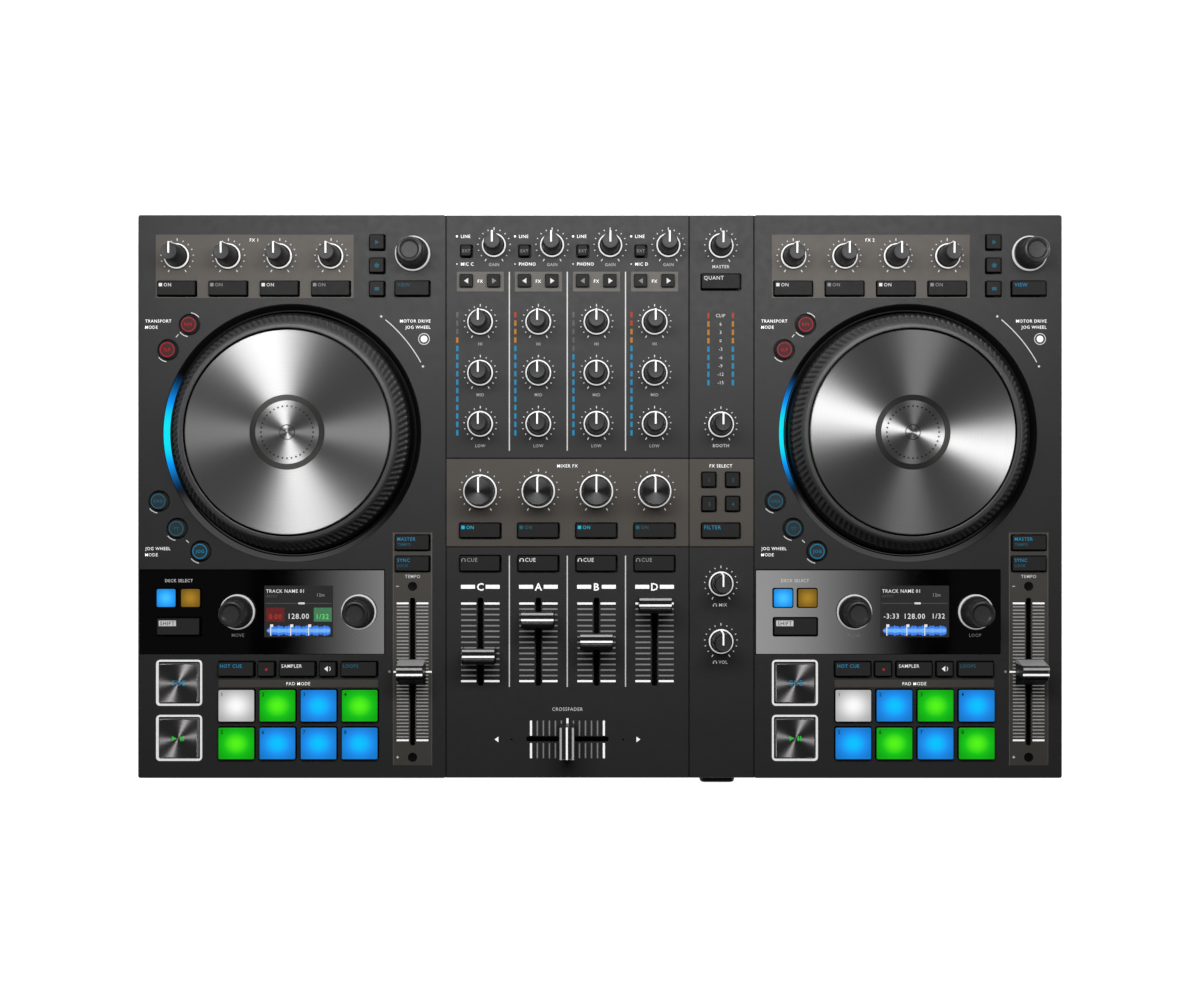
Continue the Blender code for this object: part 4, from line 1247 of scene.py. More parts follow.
def add_round_key(piece, angle, index):
    kx, ky = orbit(angle)
    lamp = LED_DIM_RED if index < 2 else (LED_TEAL if index == 4 else LED_DIM_BLUE)
    piece.frame = at(kx, ky)
    piece.turned([(ROUND_R + 0.1, KEY_FOOT), (ROUND_R + 0.1, KEY_TOP - 0.6),
                  (ROUND_R - 0.1, KEY_TOP - 0.15), (ROUND_R - 0.5, KEY_TOP), (0.0, KEY_TOP + 0.02)],
                 32, KEY)
    piece.frame = Matrix.Identity(4)
    piece.mark(disc_shape(kx, ky, ROUND_R - 1.0, 32), RED_HAZE if index < 2 else BLUE_HAZE, KEY_TOP)
    piece.arc(kx, ky, ROUND_R - 0.75, 0, 359.9, 0.45, lamp, KEY_TOP, 40)
    piece.words(ROUND_WORDS[index], kx, ky, PRINT, lamp, KEY_TOP + INK)


def build_lit_key(name, body, x, key, material, number=None):
    """A lit rubber key with a raised border, its own piece so that its glow is centred."""
    kx, ky, width, depth = key
    piece = Piece()
    shape = box_shape(0, 0, width - 0.3, depth - 0.2, 0.9, 4)
    piece.slab(shape, KEY_FOOT, KEY_TOP - 0.7, KEY_DARK)
    levels = [(shape(-0.1), KEY_TOP - 0.72), (shape(-0.1), KEY_TOP - 0.3), (shape(-0.2), KEY_TOP - 0.1),
              (shape(-0.45), KEY_TOP), (shape(-0.8), KEY_TOP), (shape(-1.0), KEY_TOP - 0.15)]
    piece.loft(levels, material)
    if number:
        piece.words(str(number), -width / 2 + 2.2, depth / 2 - 2.6, 1.9, KEY_DARK, KEY_TOP - 0.15)
    piece.done(name, body, x + kx, ky)


PAD_LAYOUT = {
    "left": ("white", "green", "blue", "green", "green", "blue", "blue", "blue"),
    "right": ("white", "blue", "green", "blue", "blue", "green", "blue", "green"),
}


def build_pads(side, x):
    for number, (key, colour) in enumerate(zip(PADS, PAD_LAYOUT[side]), 1):
        build_lit_key("pad_%s_%d" % (side, number), "deck_keymat_" + side, x, key,
                      PAD_COLOURS[colour], number)


def build_transport(side, x):
    """Cue and play keys in brushed metal, each in a lit frame."""
    made = []
    frames = Piece()
    for index, (kx, ky, width, depth) in enumerate(TRANSPORT):
        hole = box_shape(kx, ky, 24.0, 24.0, 1.0)
        frames.plate(box_shape(kx, ky, 26.0, 26.0, 2.1, 5), [hole], -PLATE_THICK, 0.35, 0.2, FRAME_LIGHT)
        key = Piece()
        key.block(box_shape(0, 0, width + 0.3, depth + 0.3, 0.5), KEY_FOOT, KEY_TOP, 0.3, METAL_KEY)
        if index == 0:
            key.words("CUE", 0, 0.2, 2.6, LED_BLUE, KEY_TOP)
        else:
            key.mark(polygon_shape([(-3.4, -1.4), (-0.9, 0.0), (-3.4, 1.4)]), LED_GREEN, KEY_TOP)
            for bar in (1.6, 2.9):
                key.mark(box_shape(bar, 0, 0.75, 2.8, 0.1), LED_GREEN, KEY_TOP)
        made.append(key.done(("cue_key_" if index == 0 else "play_key_") + side, "deck_keymat_" + side,
                             x + kx, ky))
    frames.done("transport_frames_" + side, "chassis", x)
    return made


def build_mixer_keys():
    piece = Piece()
    for key in mixer_keys():
        add_key(piece, *key, corner=1.2 if key[2] < 7 else 0.7)
    add_lit_words(piece, QUANT_KEY, "QUANT", LED_WHITE, 1.9)
    add_lit_words(piece, FILTER_KEY, "FILTER", LED_BLUE, 1.9)
    for number, (kx, ky, _, _) in enumerate(SELECTORS, 1):
        piece.words(str(number), kx, ky, 1.8, LED_DIM_BLUE, KEY_TOP)
    assigned = {"c": (1, 0), "a": (1, 1), "b": (0, 1), "d": (0, 1)}
    for number, (name, x) in enumerate(CHANNEL_X.items()):
        piece.words("EXT", x + INPUT_KEY[0], INPUT_KEY[1], 1.5, LED_DIM_WHITE, KEY_TOP)
        for dx, sign, lit in zip(ASSIGN_X, (-1, 1), assigned[name]):
            arrow = [(x + dx - sign * 1.0, ASSIGN_Y - 1.6), (x + dx + sign * 1.4, ASSIGN_Y),
                     (x + dx - sign * 1.0, ASSIGN_Y + 1.6)]
            piece.mark(polygon_shape(arrow), LED_WHITE if lit else LED_DIM_WHITE, KEY_TOP)
        blue = LED_CYAN if number % 2 == 0 else LED_DIM_BLUE
        add_lit_words(piece, (x, MIXER_KEY_Y, *ON_KEY), "ON", blue, lamp=blue)
        ink = LED_WHITE if name in "ab" else LED_DIM_WHITE
        add_headphones(piece, x - 9.4, CUE_Y + 2.3, 2.2, ink, KEY_TOP)
        piece.words("CUE", x - 7.4, CUE_Y + 2.3, 1.9, ink, KEY_TOP, "left")
    piece.done("mixer_keys", "mixer_keymat", replaces=["mixer_keymat"])


# ---- meters -----------------------------------------------------------------
def add_meter(piece, x, low, high, colours):
    """Lamps from the top down."""
    step = (high - low) / (len(colours) - 1)
    for i, colour in enumerate(colours):
        piece.mark(box_shape(x, high - i * step, 1.3, min(step * 0.7, 3.1), 0.2), colour)


def build_meters():
    piece = Piece()
    lamps = {"c": (3, 0, 1), "a": (0, 1, 3), "b": (5, 0, 0), "d": (0, 2, 2)}
    for name, x in CHANNEL_X.items():
        off, red, orange = lamps[name]
        colours = [LED_OFF] * off + [LED_RED] * red + [LED_ORANGE] * orange
        colours += [LED_BLUE] * (15 - len(colours))
        add_meter(piece, x - 13.1, *METER_Y, colours)
    for x in MASTER_METER_X:
        add_meter(piece, x, *MASTER_METER_Y, [LED_RED] + [LED_ORANGE] * 3 + [LED_BLUE] * 5)
    scale = ("CLIP", "6", "3", "0", "-3", "-6", "-9", "-12", "-15")
    for i, text in enumerate(scale):
        y = MASTER_METER_Y[1] - (MASTER_METER_Y[1] - MASTER_METER_Y[0]) * i / 8
        piece.words(text, SIDE_X - 0.2, y, PRINT, SOFT_WHITE)
    piece.done("level_meters", "chassis", smooth=0)


# ---- printed marks ----------------------------------------------------------
DIAL_MARKS = 15
DIAL_R = 8.8
RING_MARK_R = 6.8                              # strokes round a round key
TEMPO_TICKS = 41
TEMPO_SCALE = (-60.7, -138.5)                  # y of its first and last tick


def add_dial(piece, x, y, radius=DIAL_R, z=0.0):
    """Tick marks round a knob from -150 to 150 degrees."""
    for i in range(DIAL_MARKS):
        long = i in (0, DIAL_MARKS // 2, DIAL_MARKS - 1)
        reach = 1.5 if long else 0.8
        piece.frame = at(x, y, z, 90 + 150 - 300 * i / (DIAL_MARKS - 1))
        piece.mark(box_shape(radius + reach / 2, 0, reach, 0.55, 0.2), SOFT_WHITE)
    piece.frame = Matrix.Identity(4)


def add_tempo_scale(piece):
    """Ticks beside the tempo slot, the centre line, and signs at its ends."""
    for i in range(TEMPO_TICKS):
        y = TEMPO_SCALE[0] + (TEMPO_SCALE[1] - TEMPO_SCALE[0]) * i / (TEMPO_TICKS - 1)
        end = i in (0, TEMPO_TICKS - 1)
        for edge in (-1, 1):
            tick = box_shape(TEMPO_X + edge * 5.6, y, 6.8, 1.0 if end else 0.65, 0.15)
            piece.mark(tick, WHITE if end else TICK_GREY, INLAY)
    for edge in (-1, 1):
        piece.mark(box_shape(TEMPO_X + edge * 6.6, TEMPO_Y, 8.6, 1.0, 0.15), WHITE, INLAY + INK)
    piece.mark(box_shape(60.0, -51.0, 1.5, 0.4, 0.1), SOFT_WHITE, INLAY)
    for size in ((1.6, 0.4), (0.4, 1.6)):
        piece.mark(box_shape(60.0, -148.1, *size, 0.1), SOFT_WHITE, INLAY)
    piece.mark(disc_shape(55.4, -99.5, 0.7, 16), TICK_DARK)


def add_jog_marks(piece):
    """The curved scale beside the jog wheel, and strokes round the round keys."""
    piece.arc(0, JOG_Y, 83.5, 28.8, 50.5, 0.55, SOFT_WHITE, 0, 24)
    for angle in (27.0, 52.6):
        piece.mark(disc_shape(*orbit(angle, 83.5), 0.65, 16), SOFT_WHITE)
    piece.mark(disc_shape(75.0, 89.5, 1.9, 24), WHITE)
    piece.arc(75.0, 89.5, 3.1, 0, 359.9, 0.45, SOFT_WHITE, 0, 32)
    for angle in ROUND_ANGLES:
        piece.arc(*orbit(angle), RING_MARK_R, 218, 262, 0.5, SOFT_WHITE, 0, 8)
    piece.arc(*orbit(ROUND_ANGLES[0]), RING_MARK_R, 38, 82, 0.5, SOFT_WHITE, 0, 8)
    for angle in (139.75, 226.0):
        piece.frame = at(*orbit(angle, 85.5), 0, angle)
        piece.mark(box_shape(0, 0, 0.5, 2.2, 0.15), SOFT_WHITE)
    piece.frame = Matrix.Identity(4)


def build_deck_marks(side, x):
    piece = Piece()
    for kx, ky in FX_KNOBS:
        add_dial(piece, kx, ky, DIAL_R, INLAY)
    piece.words("FX 1" if side == "left" else "FX 2", -21.6, 145.7, PRINT, WHITE, INLAY)
    for text, y in (("TRANSPORT", 99.7), ("MODE", 96.2), ("JOG WHEEL", -29.6), ("MODE", -33.1)):
        piece.words(text, -83.4, y, 1.55, WHITE, 0, "left")
    for text, y in (("MOTOR DRIVE", 99.7), ("JOG WHEEL", 96.2)):
        piece.words(text, 78.7, y, 1.55, WHITE, 0, "right")
    add_jog_marks(piece)
    piece.words("DECK SELECT", -64.2, -47.8, 1.5, SOFT_WHITE, 0)
    piece.words("MOVE", MOVE[0], -78.8, PRINT, TICK_DARK)
    piece.words("LOOP", LOOP[0], -78.8, PRINT, TICK_DARK)
    piece.words("PAD MODE", 3.6, -106.3, PRINT, WHITE, INLAY)
    piece.words("TEMPO", TEMPO_X, -45.4, PRINT, SOFT_WHITE, INLAY)
    add_tempo_scale(piece)
    piece.done("deck_marks_" + side, "chassis", x, smooth=0)


CHANNEL_LINES = (-51.5, -18.6, 14.5)           # x of the white lines between the channels


def add_channel_marks(piece, name, x):
    """A channel's words and dials, from the input words down to its fader scale."""
    second = "MIC %s" % name.upper() if name in "cd" else "PHONO"
    for text, y, radius, ink in (("LINE", 147.8, 0.62, WHITE), (second, 132.1, 0.45, SOFT_WHITE)):
        piece.mark(disc_shape(x - 13.3, y, radius, 16), ink)
        piece.words(text, x - 11.0, y, PRINT, WHITE, 0, "left")
    piece.words("GAIN", x + 7.8, 131.8, 1.5, DIM)
    add_dial(piece, *place("gain_knob_" + name))
    piece.slab(box_shape(x, ASSIGN_Y - 0.2, 26.7, 11.2, 0.3), 0.0, 0.1, PALE_TAUPE)
    piece.words("FX", x, ASSIGN_Y, PRINT, WHITE, 0.1)
    for band, text in TONES.items():
        kx, ky = place("%s_knob_%s" % (band, name))
        add_dial(piece, kx, ky)
        piece.words(text, kx, ky - 12.4, 1.5, DIM)
    add_dial(piece, *place("mixer_fx_knob_" + name), 11.2)
    add_fader_scale(piece, name, x)


def build_mixer_marks():
    piece = Piece()
    for name, x in CHANNEL_X.items():
        add_channel_marks(piece, name, x)
    for x in CHANNEL_LINES:
        for low, high in ((26.0, 127.7), (-108.2, -33.6)):
            piece.mark(box_shape(x, (low + high) / 2, 0.65, high - low, 0.2), SOFT_WHITE)
    for node, text, drop in (("master_knob", "MASTER", 11.7), ("booth_knob", "BOOTH", 12.0),
                             ("cue_mix_knob", "MIX", 12.1), ("cue_volume_knob", "VOL", 11.9)):
        kx, ky = place(node)
        add_dial(piece, kx, ky)
        if node.startswith("cue"):
            add_headphones(piece, kx - 3.4, ky - drop, 2.0, SOFT_WHITE, 0)
            kx += 1.2
        piece.words(text, kx, ky - drop, PRINT, SOFT_WHITE)
    piece.words("MIXER FX", (CHANNEL_X["a"] + CHANNEL_X["b"]) / 2, 17.4, PRINT, WHITE)
    piece.words("FX SELECT", SIDE_X, 17.4, PRINT, WHITE)
    add_cross_scale(piece)
    piece.done("mixer_marks", "chassis", smooth=0)


FADER_TICKS = 15
FADER_SCALE = (-60.8, -104.9)                  # y of its first and last tick


def add_fader_scale(piece, name, x):
    """A channel's letter between two bars, and the ticks beside its fader slot."""
    piece.words(name.upper(), x, -51.3, 3.6, WHITE, bold=0.02, squeeze=1.0)
    for edge in (-1, 1):
        piece.mark(box_shape(x + edge * 7.0, -51.3, 8.0, 2.2, 0.2), WHITE)
    for i in range(FADER_TICKS):
        y = FADER_SCALE[0] + (FADER_SCALE[1] - FADER_SCALE[0]) * i / (FADER_TICKS - 1)
        end = i in (0, FADER_TICKS - 1)
        for edge in (-1, 1):
            tick = box_shape(x + edge * 6.6, y, 8.6, 1.15 if end else 0.85, 0.2)
            piece.mark(tick, WHITE if end else TICK_DARK)


def add_cross_scale(piece):
    x, y = CROSS
    for step in range(-6, 7):
        far = abs(step) == 6
        offset = step * 3.42 if not far else math.copysign(20.7, step)
        for edge in (-1, 1):
            piece.mark(box_shape(x + offset, y + edge * 6.4, 1.2 if far else 0.8, 8.6, 0.2),
                       WHITE if far else TICK_DARK)
    piece.mark(box_shape(x, y + 7.0, 1.2, 10.0, 0.2), WHITE, INK)
    piece.words("CROSSFADER", x, -120.8, 1.7, SOFT_WHITE)
    for edge in (-1, 1):
        tip = x + edge * 41.4
        back = tip - edge * 2.2
        piece.mark(polygon_shape([(tip, y), (back, y + 1.6), (back, y - 1.6)]), WHITE)
        piece.mark(disc_shape(x + edge * 31.7, y, 0.6, 16), BLACK)


# ---- case, feet and sockets -------------------------------------------------
def carve(obj, cutter):
    """Cut a piece's solid away from an object, both about the panel's centre."""
    bmesh.ops.recalc_face_normals(cutter.bm, faces=cutter.bm.faces)
    bmesh.ops.scale(cutter.bm, vec=(MM, MM, MM), verts=cutter.bm.verts)
    mesh = bpy.data.meshes.new("cutter")
    cutter.bm.to_mesh(mesh)
    cutter.bm.free()
    tool = bpy.data.objects.new("cutter", mesh)
    tool.matrix_world = obj.matrix_world
    bpy.context.scene.collection.objects.link(tool)
    modifier = obj.modifiers.new("cut", "BOOLEAN")
    modifier.object = tool
    modifier.use_self = True                   # the nose overlaps the shell
    graph = bpy.context.evaluated_depsgraph_get()
    result = bpy.data.meshes.new_from_object(obj.evaluated_get(graph))
    obj.modifiers.clear()
    obj.data = result
    bpy.data.objects.remove(tool)
    bpy.data.meshes.remove(mesh)


CASE_LOW, CASE_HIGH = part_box("base_case")
GROUND = -PANEL_Z
CASE_W = (CASE_HIGH.x - CASE_LOW.x) / MM
CASE_FRONT = -PANEL_D / 2 + 1.0
CASE_REAR = (CASE_HIGH.y / MM) - ORIGIN_Y
CASE_BOTTOM = GROUND + 4.0
CASE_TOP = CASE_HIGH.z / MM - PANEL_Z
CHAMFER_TOP = GROUND + 14.0
WINDOW = (-190.0, 190.0, GROUND + 11.0, GROUND + 33.0)
SOCKET_Z = GROUND + 22.0
PHONES = [(62.5, 3.4), (72.6, 1.8)]            # x and bore radius of each headphone socket
NOSE_FRONT = -PANEL_D / 2 - 4.8
VENTS = 14                                     # on each side of the middle
FEET = [(x, y) for x in (-225.0, 225.0) for y in (-125.0, 115.0)]


def case_shape():
    depth = CASE_REAR - CASE_FRONT
    return box_shape(0, (CASE_REAR + CASE_FRONT) / 2, CASE_W, depth, 6.0, 6)


def build_case():
    shell = Piece()
    shape = case_shape()
    wall = 2.5
    outside = [(-8.6, CASE_BOTTOM), (-7.9, CASE_BOTTOM + 0.25), (-0.9, CHAMFER_TOP - 1.0),
               (-0.15, CHAMFER_TOP + 0.6), (0.0, CHAMFER_TOP + 1.6), (0.0, -9.4), (-0.5, -9.1),
               (-0.5, -8.2), (0.0, -7.9), (0.0, CASE_TOP)]
    inside_levels = [(-wall, CASE_TOP), (-wall, CHAMFER_TOP + 1.0), (-8.0 - wall, CASE_BOTTOM + wall)]
    rings = [shell.ring(shape(grow), z) for grow, z in outside + inside_levels]
    for one, two in zip(rings, rings[1:]):
        shell.skin(one, two, CASE)
    shell.face(rings[0], CASE)
    shell.face(rings[-1], CASE)
    add_nose(shell)
    case = shell.done("case_shell", "chassis", replaces=["base_case"], smooth=30)
    cutter = Piece()
    x0, x1, z0, z1 = WINDOW
    cutter.slab(box_shape((x0 + x1) / 2, CASE_REAR, x1 - x0, 16.0, 1.0), z0, z1, CASE)
    for x, bore in PHONES:
        cutter.frame = at(x, CASE_FRONT - 10, SOCKET_Z, -90, "X")
        cutter.slab(disc_shape(0, 0, bore + 1.0, 32), 0.0, 26.0, CASE)
    cutter.frame = Matrix.Identity(4)
    for side in (-1, 1):
        for i in range(VENTS):
            vent = box_shape(side * (60.0 + 7.0 * i), 40.0, 3.0, 46.0, 1.4)
            cutter.slab(vent, CASE_BOTTOM - 1, CASE_BOTTOM + wall + 1, CASE)
    carve(case, cutter)
    case.data.shade_smooth()
    case.data.set_sharp_from_angle(angle=math.radians(30))
    build_underside()


def add_nose(piece):
    """The block in front that carries the headphone sockets."""
    x = (PHONES[0][0] + PHONES[1][0]) / 2
    piece.frame = Matrix(((1, 0, 0, x), (0, 0, 1, 0), (0, 1, 0, SOCKET_Z), (0, 0, 0, 1)))
    shape = box_shape(0, 0, 20.0, 18.0, 3.0, 4)
    steps = [(-1.6, 0.0), (-0.8, 0.25), (-0.25, 0.8), (0.0, 1.8)]
    levels = [(shape(grow), NOSE_FRONT + back) for grow, back in steps]
    piece.loft(levels + [(shape(), CASE_FRONT + 1.0)], CASE)
    piece.frame = Matrix.Identity(4)


def build_underside():
    """Feet with a turned groove, cross-head screws, and a blank label recess."""
    piece = Piece()
    for x, y in FEET:
        piece.frame = at(x, y, GROUND)
        piece.turned([(0.0, 0.6), (6.0, 0.6), (6.6, 0.0), (10.8, 0.0), (11.6, 0.4), (12.0, 1.2), (12.0, 3.6),
                      (11.4, 4.3), (0.0, 4.3)], 40, FOOT)
    screws = [(x, y) for x in (-240, -85, 85, 240) for y in (-140, 0, 130)]
    for x, y in screws:
        piece.frame = at(x, y, CASE_BOTTOM, 180, "X")
        piece.turned([(4.2, -0.4), (4.2, 0.35), (3.8, 0.6), (3.2, 0.6), (3.1, 0.2), (0.0, 0.2)], 24, CASE)
        piece.turned([(2.6, 0.1), (2.6, 0.4), (1.8, 0.7), (0.0, 0.8)], 24, SCREW)
        for turn in (45, 135):
            piece.frame = at(x, y, CASE_BOTTOM - 0.72, turn)
            piece.slab(box_shape(0, 0, 2.6, 0.6, 0.1), -0.12, 0.2, BLACK)
    piece.frame = Matrix.Identity(4)
    piece.block(box_shape(0, -70, 90, 40, 2), CASE_BOTTOM - 0.3, CASE_BOTTOM + 0.2, 0.1, FRAME)
    piece.done("underside", "chassis")


REAR_FACE = CASE_REAR - 0.5
SOCKETS = [("round", -178.0), ("usb", -158.0), ("jack", -130.0), ("jack", -112.0),
           ("rca", -88.0), ("rca", -72.0), ("xlr", -44.0), ("xlr", -14.0),
           ("rca", 16.0), ("rca", 32.0), ("rca", 54.0), ("rca", 70.0), ("rca", 92.0), ("rca", 108.0),
           ("jack", 134.0), ("jack", 152.0), ("round", 176.0)]


def add_jack(piece, bore=3.4, nut=5.6, out=2.5):
    """A threaded metal bush with a dark bore."""
    thread = []
    for i in range(5):
        z = out * (0.3 + 0.14 * i)
        thread += [(bore + 1.3, z), (bore + 1.1, z + out * 0.07)]
    piece.turned([(nut, -1.0), (nut, 0.6), (nut - 0.4, 0.8)] + thread
                 + [(bore + 1.2, out - 0.2), (bore + 0.9, out), (bore, out - 0.1), (bore, -14.0),
                    (bore + 1.0, -14.0), (bore + 1.0, -1.0)], 24, NICKEL, closed=True)
    piece.turned([(bore + 0.1, -14.5), (bore + 0.1, -12.0), (0.0, -12.0)], 24, BLACK)


def add_rca(piece, colour):
    piece.turned([(4.2, -1.0), (4.2, 1.4), (3.9, 1.7), (3.3, 1.7), (3.3, -1.0)], 28, colour, closed=True)
    piece.turned([(3.2, -2.0), (3.2, 6.2), (3.0, 6.4), (2.4, 6.4), (2.3, 6.2), (2.3, -2.0)], 28,
                 NICKEL, closed=True)
    piece.turned([(2.2, -2.0), (2.2, 5.4), (1.5, 5.5), (1.4, 5.2), (1.4, -2.0)], 20, colour, closed=True)


def add_xlr(piece):
    radius = 9.9
    piece.turned([(radius, -10.0), (radius, 0.7), (radius - 0.4, 1.0), (9.2, 1.0), (9.0, 0.6), (9.0, -8.5),
                  (0.0, -8.5), (0.0, -10.0)], 48, NICKEL)
    for angle in (90, 210, 330):
        x = 4.2 * math.cos(math.radians(angle))
        y = 4.2 * math.sin(math.radians(angle))
        piece.slab(disc_shape(x, y, 1.15, 16), -8.6, -1.5, GOLD)


def build_rear_plate():
    """The socket plate with its openings and divider lines."""
    plate = Piece()
    x0, x1, z0, z1 = WINDOW
    facing = Matrix(((-1, 0, 0, 0), (0, 0, 1, 0), (0, 1, 0, 0), (0, 0, 0, 1)))
    plate.frame = at(0, REAR_FACE) @ facing
    bores = {"round": 4.5, "jack": 4.5, "rca": 3.3, "xlr": 10.0}
    holes = []
    for kind, x in SOCKETS:
        if kind == "usb":
            holes.append(box_shape(-x, SOCKET_Z, 12.0, 11.0, 0.4))
        else:
            holes.append(disc_shape(-x, SOCKET_Z, bores[kind], 32))
    outer = box_shape(0, (z0 + z1) / 2, x1 - x0 - 0.6, z1 - z0 - 0.6, 0.8)
    plate.plate(outer, holes, -2.0, 0.0, 0.2, FRAME)
    for x in (-184.0, -96.5, 3.0, 124.0, 184.0):
        plate.mark(box_shape(-x, SOCKET_Z, 0.3, 14.0, 0.1), DIM)
    plate.done("rear_plate", "chassis", replaces=["rear_io_panel"])


def build_rear_sockets():
    sockets = Piece()
    for number, (kind, x) in enumerate(SOCKETS):
        sockets.frame = at(x, REAR_FACE, SOCKET_Z, -90, "X")
        if kind in ("round", "jack"):
            add_jack(sockets, out=1.2 if kind == "round" else 2.5)
        elif kind == "rca":
            add_rca(sockets, RCA_RED if number % 2 else RCA_WHITE)
        elif kind == "xlr":
            add_xlr(sockets)
        else:
            add_usb(sockets)
    sockets.done("rear_sockets", "chassis")


def build_phones_sockets():
    phones = Piece()
    for x, bore in PHONES:
        phones.frame = at(x, NOSE_FRONT + 0.2, SOCKET_Z, 90, "X")
        phones.turned([(bore + 0.95, -20.0), (bore + 0.95, 0.2), (bore + 0.6, 0.45), (bore + 0.1, 0.3),
                       (bore, 0.0), (bore, -20.0)], 32, NICKEL, closed=True)
        phones.turned([(bore + 0.2, -20.5), (bore + 0.2, -17.0), (0.0, -17.0)], 24, BLACK)
    phones.done("phones_sockets", "chassis")


def add_usb(piece):
    shell = box_shape(0, 0, 11.6, 10.6, 0.8)
    bore = box_shape(0, 0, 10.4, 9.4, 0.6)
    piece.plate(shell, [bore], -12.0, 0.8, 0.15, NICKEL)
    piece.slab(shell, -12.6, -12.0, NICKEL)
    piece.block(box_shape(0, 0, 5.6, 3.2, 0.3), -12.0, -1.2, 0.3, BLACK)
    for contact in (-1.4, 1.4):
        piece.slab(box_shape(contact, 1.7, 1.0, 0.3, 0.05, 1), -10.0, -1.6, GOLD)


# ---- the CAD nodes that stay ------------------------------------------------
def refinish_cad():
    finishes = {"main_board": BOARD}
    for side in SIDES:
        finishes["jog_motor_" + side] = MOTOR
    for node, material in finishes.items():
        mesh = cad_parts[node].data
        mesh.materials.clear()
        mesh.materials.append(material)


# ---- floor, light and camera ------------------------------------------------
FLOOR_REACH = 6.0
CARD_HEIGHT = 0.95
CARD_HALF = 0.44
CARD_Y = (-0.30, -0.04)
CARD_FADE = (0.19, 0.40)                       # where its light starts to fall and where it ends


def sheet(name, x0, x1, y0, y1, z, material):
    """A level rectangle for the stage."""
    mesh = bpy.data.meshes.new(name)
    mesh.from_pydata([(x0, y0, 0), (x1, y0, 0), (x1, y1, 0), (x0, y1, 0)], [], [(0, 1, 2, 3)])
    mesh.materials.append(material)
    obj = bpy.data.objects.new(name, mesh)
    obj.location = (0, 0, z)
    bpy.context.scene.collection.objects.link(obj)
    return obj


def build_floor():
    recipe = Recipe("floor_paper", 0.9, specular=0.1)
    recipe.set("Base Color", recipe.blend(recipe.noise(3.0), grey(240), grey(248)))
    recipe.glow((1.0, 1.0, 1.0, 1.0), 1.0)
    sheet("floor", -FLOOR_REACH, FLOOR_REACH, -FLOOR_REACH, FLOOR_REACH, 0, recipe.material)


def light_only(source, pieces):
    """Let a light shine on the given pieces alone."""
    chosen = bpy.data.collections.new(source.name + "_pieces")
    for piece in pieces:
        chosen.objects.link(piece)
    source.light_linking.receiver_collection = chosen


def area_light(name, spot, target, size, power, pieces):
    """A soft light that shines on the given pieces alone."""
    light = bpy.data.lights.new(name, "AREA")
    light.shape = "RECTANGLE"
    light.size, light.size_y = size
    light.energy = power
    obj = bpy.data.objects.new(name, light)
    obj.location = spot
    obj.rotation_euler = (Vector(target) - Vector(spot)).to_track_quat("-Z", "Y").to_euler()
    bpy.context.scene.collection.objects.link(obj)
    obj.visible_camera = False
    light_only(obj, pieces)


def build_card(pieces):
    """An overhead card that fades to its sides and shows only in the black glass."""
    recipe = Recipe("card_light", 1.0)
    recipe.set("Base Color", (0.0, 0.0, 0.0, 1.0))
    parts = recipe.add("SeparateXYZ", {"Vector": recipe.position}).outputs
    fade = recipe.range(recipe.sum("ABSOLUTE", parts["X"]), *CARD_FADE, 1.0, 0.0, True)
    recipe.glow((1.0, 1.0, 1.0, 1.0), recipe.sum("MULTIPLY", fade, 7.3))
    card = sheet("card", -CARD_HALF, CARD_HALF, *CARD_Y, CARD_HEIGHT, recipe.material)
    card.visible_camera = False
    card.visible_diffuse = False
    card.visible_shadow = False
    light_only(card, pieces)


def build_backdrop():
    """A pale dome round the floor that the camera sees and that lights nothing."""
    bm = bmesh.new()
    bmesh.ops.create_uvsphere(bm, u_segments=48, v_segments=24, radius=5.9)
    mesh = bpy.data.meshes.new("backdrop")
    bm.to_mesh(mesh)
    bm.free()
    dome = bpy.data.objects.new("backdrop", mesh)
    bpy.context.scene.collection.objects.link(dome)
    recipe = Recipe("backdrop_paper")
    recipe.set("Base Color", (0.0, 0.0, 0.0, 1.0))
    recipe.glow((1.0, 1.0, 1.0, 1.0), 1.0)
    mesh.materials.append(recipe.material)
    for rays in ("visible_diffuse", "visible_glossy", "visible_shadow", "visible_transmission"):
        setattr(dome, rays, False)


def build_world():
    world = bpy.data.worlds.new("studio")
    world.use_nodes = True
    background = world.node_tree.nodes["Background"]
    background.inputs["Color"].default_value = (1.0, 1.0, 1.0, 1.0)
    background.inputs["Strength"].default_value = 0.072
    bpy.context.scene.world = world


CAMERA_HEIGHT = 0.750                          # above the panel
CAMERA_LENS = 39.6
CAMERA_Y = 0.85 * MM                           # behind the panel's middle


def build_camera():
    camera = bpy.data.cameras.new("camera")
    camera.lens = CAMERA_LENS
    camera.sensor_width = 36.0
    camera.clip_start = 0.05
    camera.clip_end = 30.0
    obj = bpy.data.objects.new("camera", camera)
    obj.location = (ORIGIN_X * MM, ORIGIN_Y * MM + CAMERA_Y, PANEL_Z * MM + CAMERA_HEIGHT)
    bpy.context.scene.collection.objects.link(obj)
    bpy.context.scene.camera = obj


# lights that draw the bright wedges on each turned plate: place, size and power
PLATE_LIGHTS = {
    "left": [((-0.45, 0.385, 0.822), 0.24, 2.4), ((0.025, 0.078, 0.917), 0.16, 0.38)],
    "right": [((-0.012, 0.184, 0.908), 0.18, 1.25), ((0.778, 0.006, 0.71), 0.22, 1.4),
              ((0.414, 0.482, 0.784), 0.2, 0.35)],
}
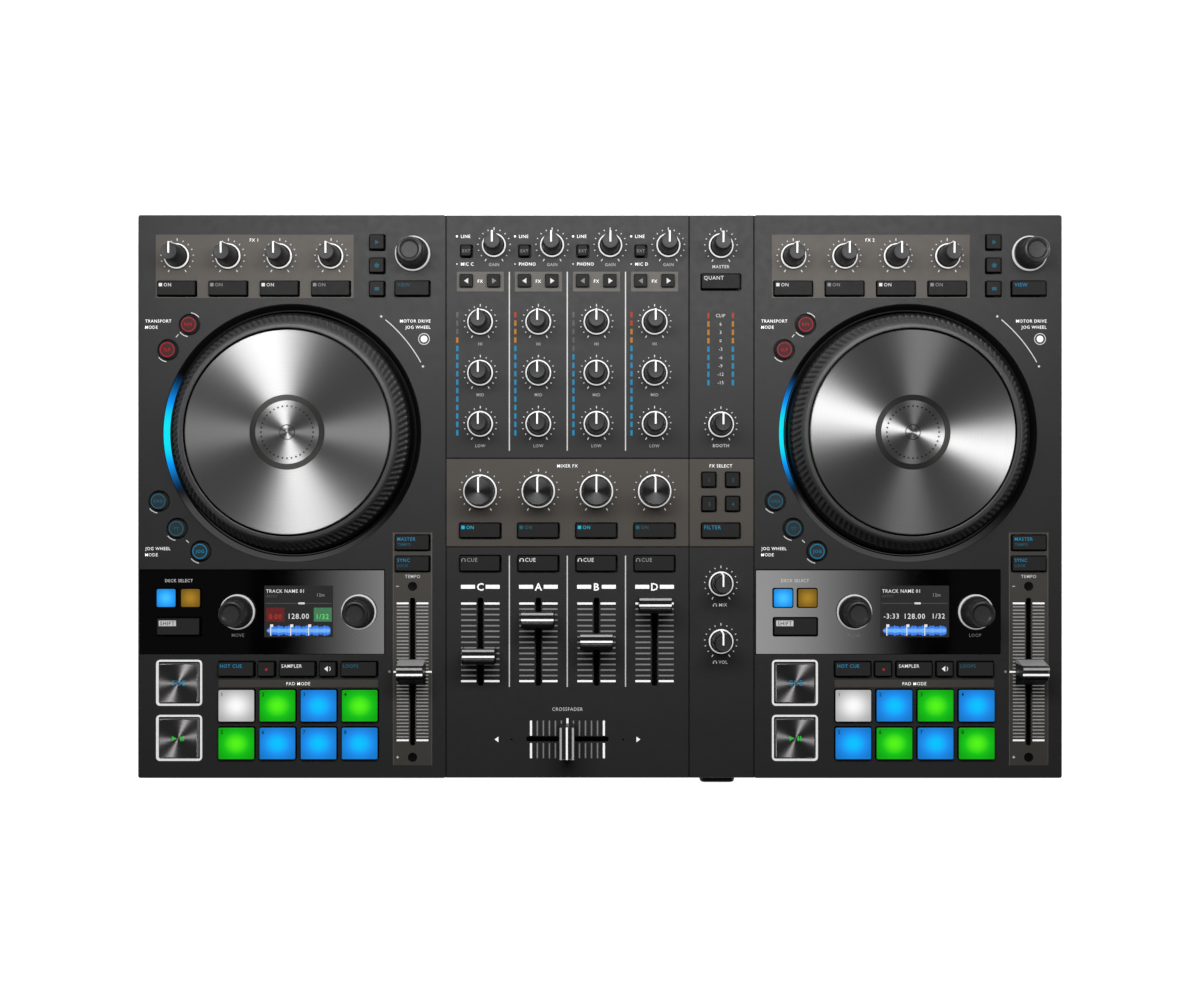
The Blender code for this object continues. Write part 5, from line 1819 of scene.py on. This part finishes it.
# and on the brushed cue and play keys
KEY_LIGHTS = {
    "left": [((-0.32, 0.18, 0.89), 0.14, 2.0), ((-0.06, -0.228, 0.913), 0.12, 1.2)],
    "right": [((0.431, 0.176, 0.83), 0.14, 2.0), ((-0.21, -0.232, 0.87), 0.12, 1.2)],
}


def build_lights(plates, rims, glasses, metal_keys):
    """Each light has its own pieces: the metal, the glass, the rims, or all the rest."""
    build_world()
    build_backdrop()
    build_card(glasses)
    mirrors = set(plates.values()) | set(glasses)
    for keys in metal_keys.values():
        mirrors |= set(keys)
    others = [obj for obj in bpy.context.scene.objects if obj.type == "MESH" and obj not in mirrors]
    area_light("rear_key", (0.0, 0.215, 0.37), (0.0, 0.09, 0.04), (0.72, 0.14), 2.0, others)
    area_light("rim_key", (0.0, 0.62, 0.34), (0.0, 0.06, 0.04), (0.5, 0.08), 2.3, rims)
    for side in SIDES:
        wheel = (DECK_X[side] * MM, JOG_Y * MM, PANEL_Z * MM)
        keys = ((DECK_X[side] + TRANSPORT[0][0]) * MM, -0.12, PANEL_Z * MM)
        for kind, lights, target, pieces in (("plate", PLATE_LIGHTS, wheel, [plates[side]]),
                                             ("keys", KEY_LIGHTS, keys, metal_keys[side])):
            for number, (spot, size, power) in enumerate(lights[side], 1):
                name = "%s_%s_%d" % (kind, side, number)
                area_light(name, spot, target, (size, size), power, pieces)
    bpy.context.scene.view_settings.view_transform = "Standard"


# ---- everything -------------------------------------------------------------
def main():
    plates = {}
    rims = []
    glasses = []
    metal_keys = {}
    refinish_cad()
    build_panel()
    for side, x in DECK_X.items():
        build_inlays(side, x)
        build_well(side, x)
        glasses.append(build_glass(side, x))
        build_display(side, x)
        rims.append(build_jog_rim(side, x))
        plates[side] = build_jog_plate(side, x)
        build_deck_keys(side, x)
        build_pads(side, x)
        metal_keys[side] = build_transport(side, x)
        build_deck_marks(side, x)
    build_knobs()
    build_faders()
    build_mixer_keys()
    build_meters()
    build_mixer_marks()
    build_case()
    build_rear_plate()
    build_rear_sockets()
    build_phones_sockets()
    build_floor()
    build_lights(plates, rims, glasses, metal_keys)
    build_camera()


main()
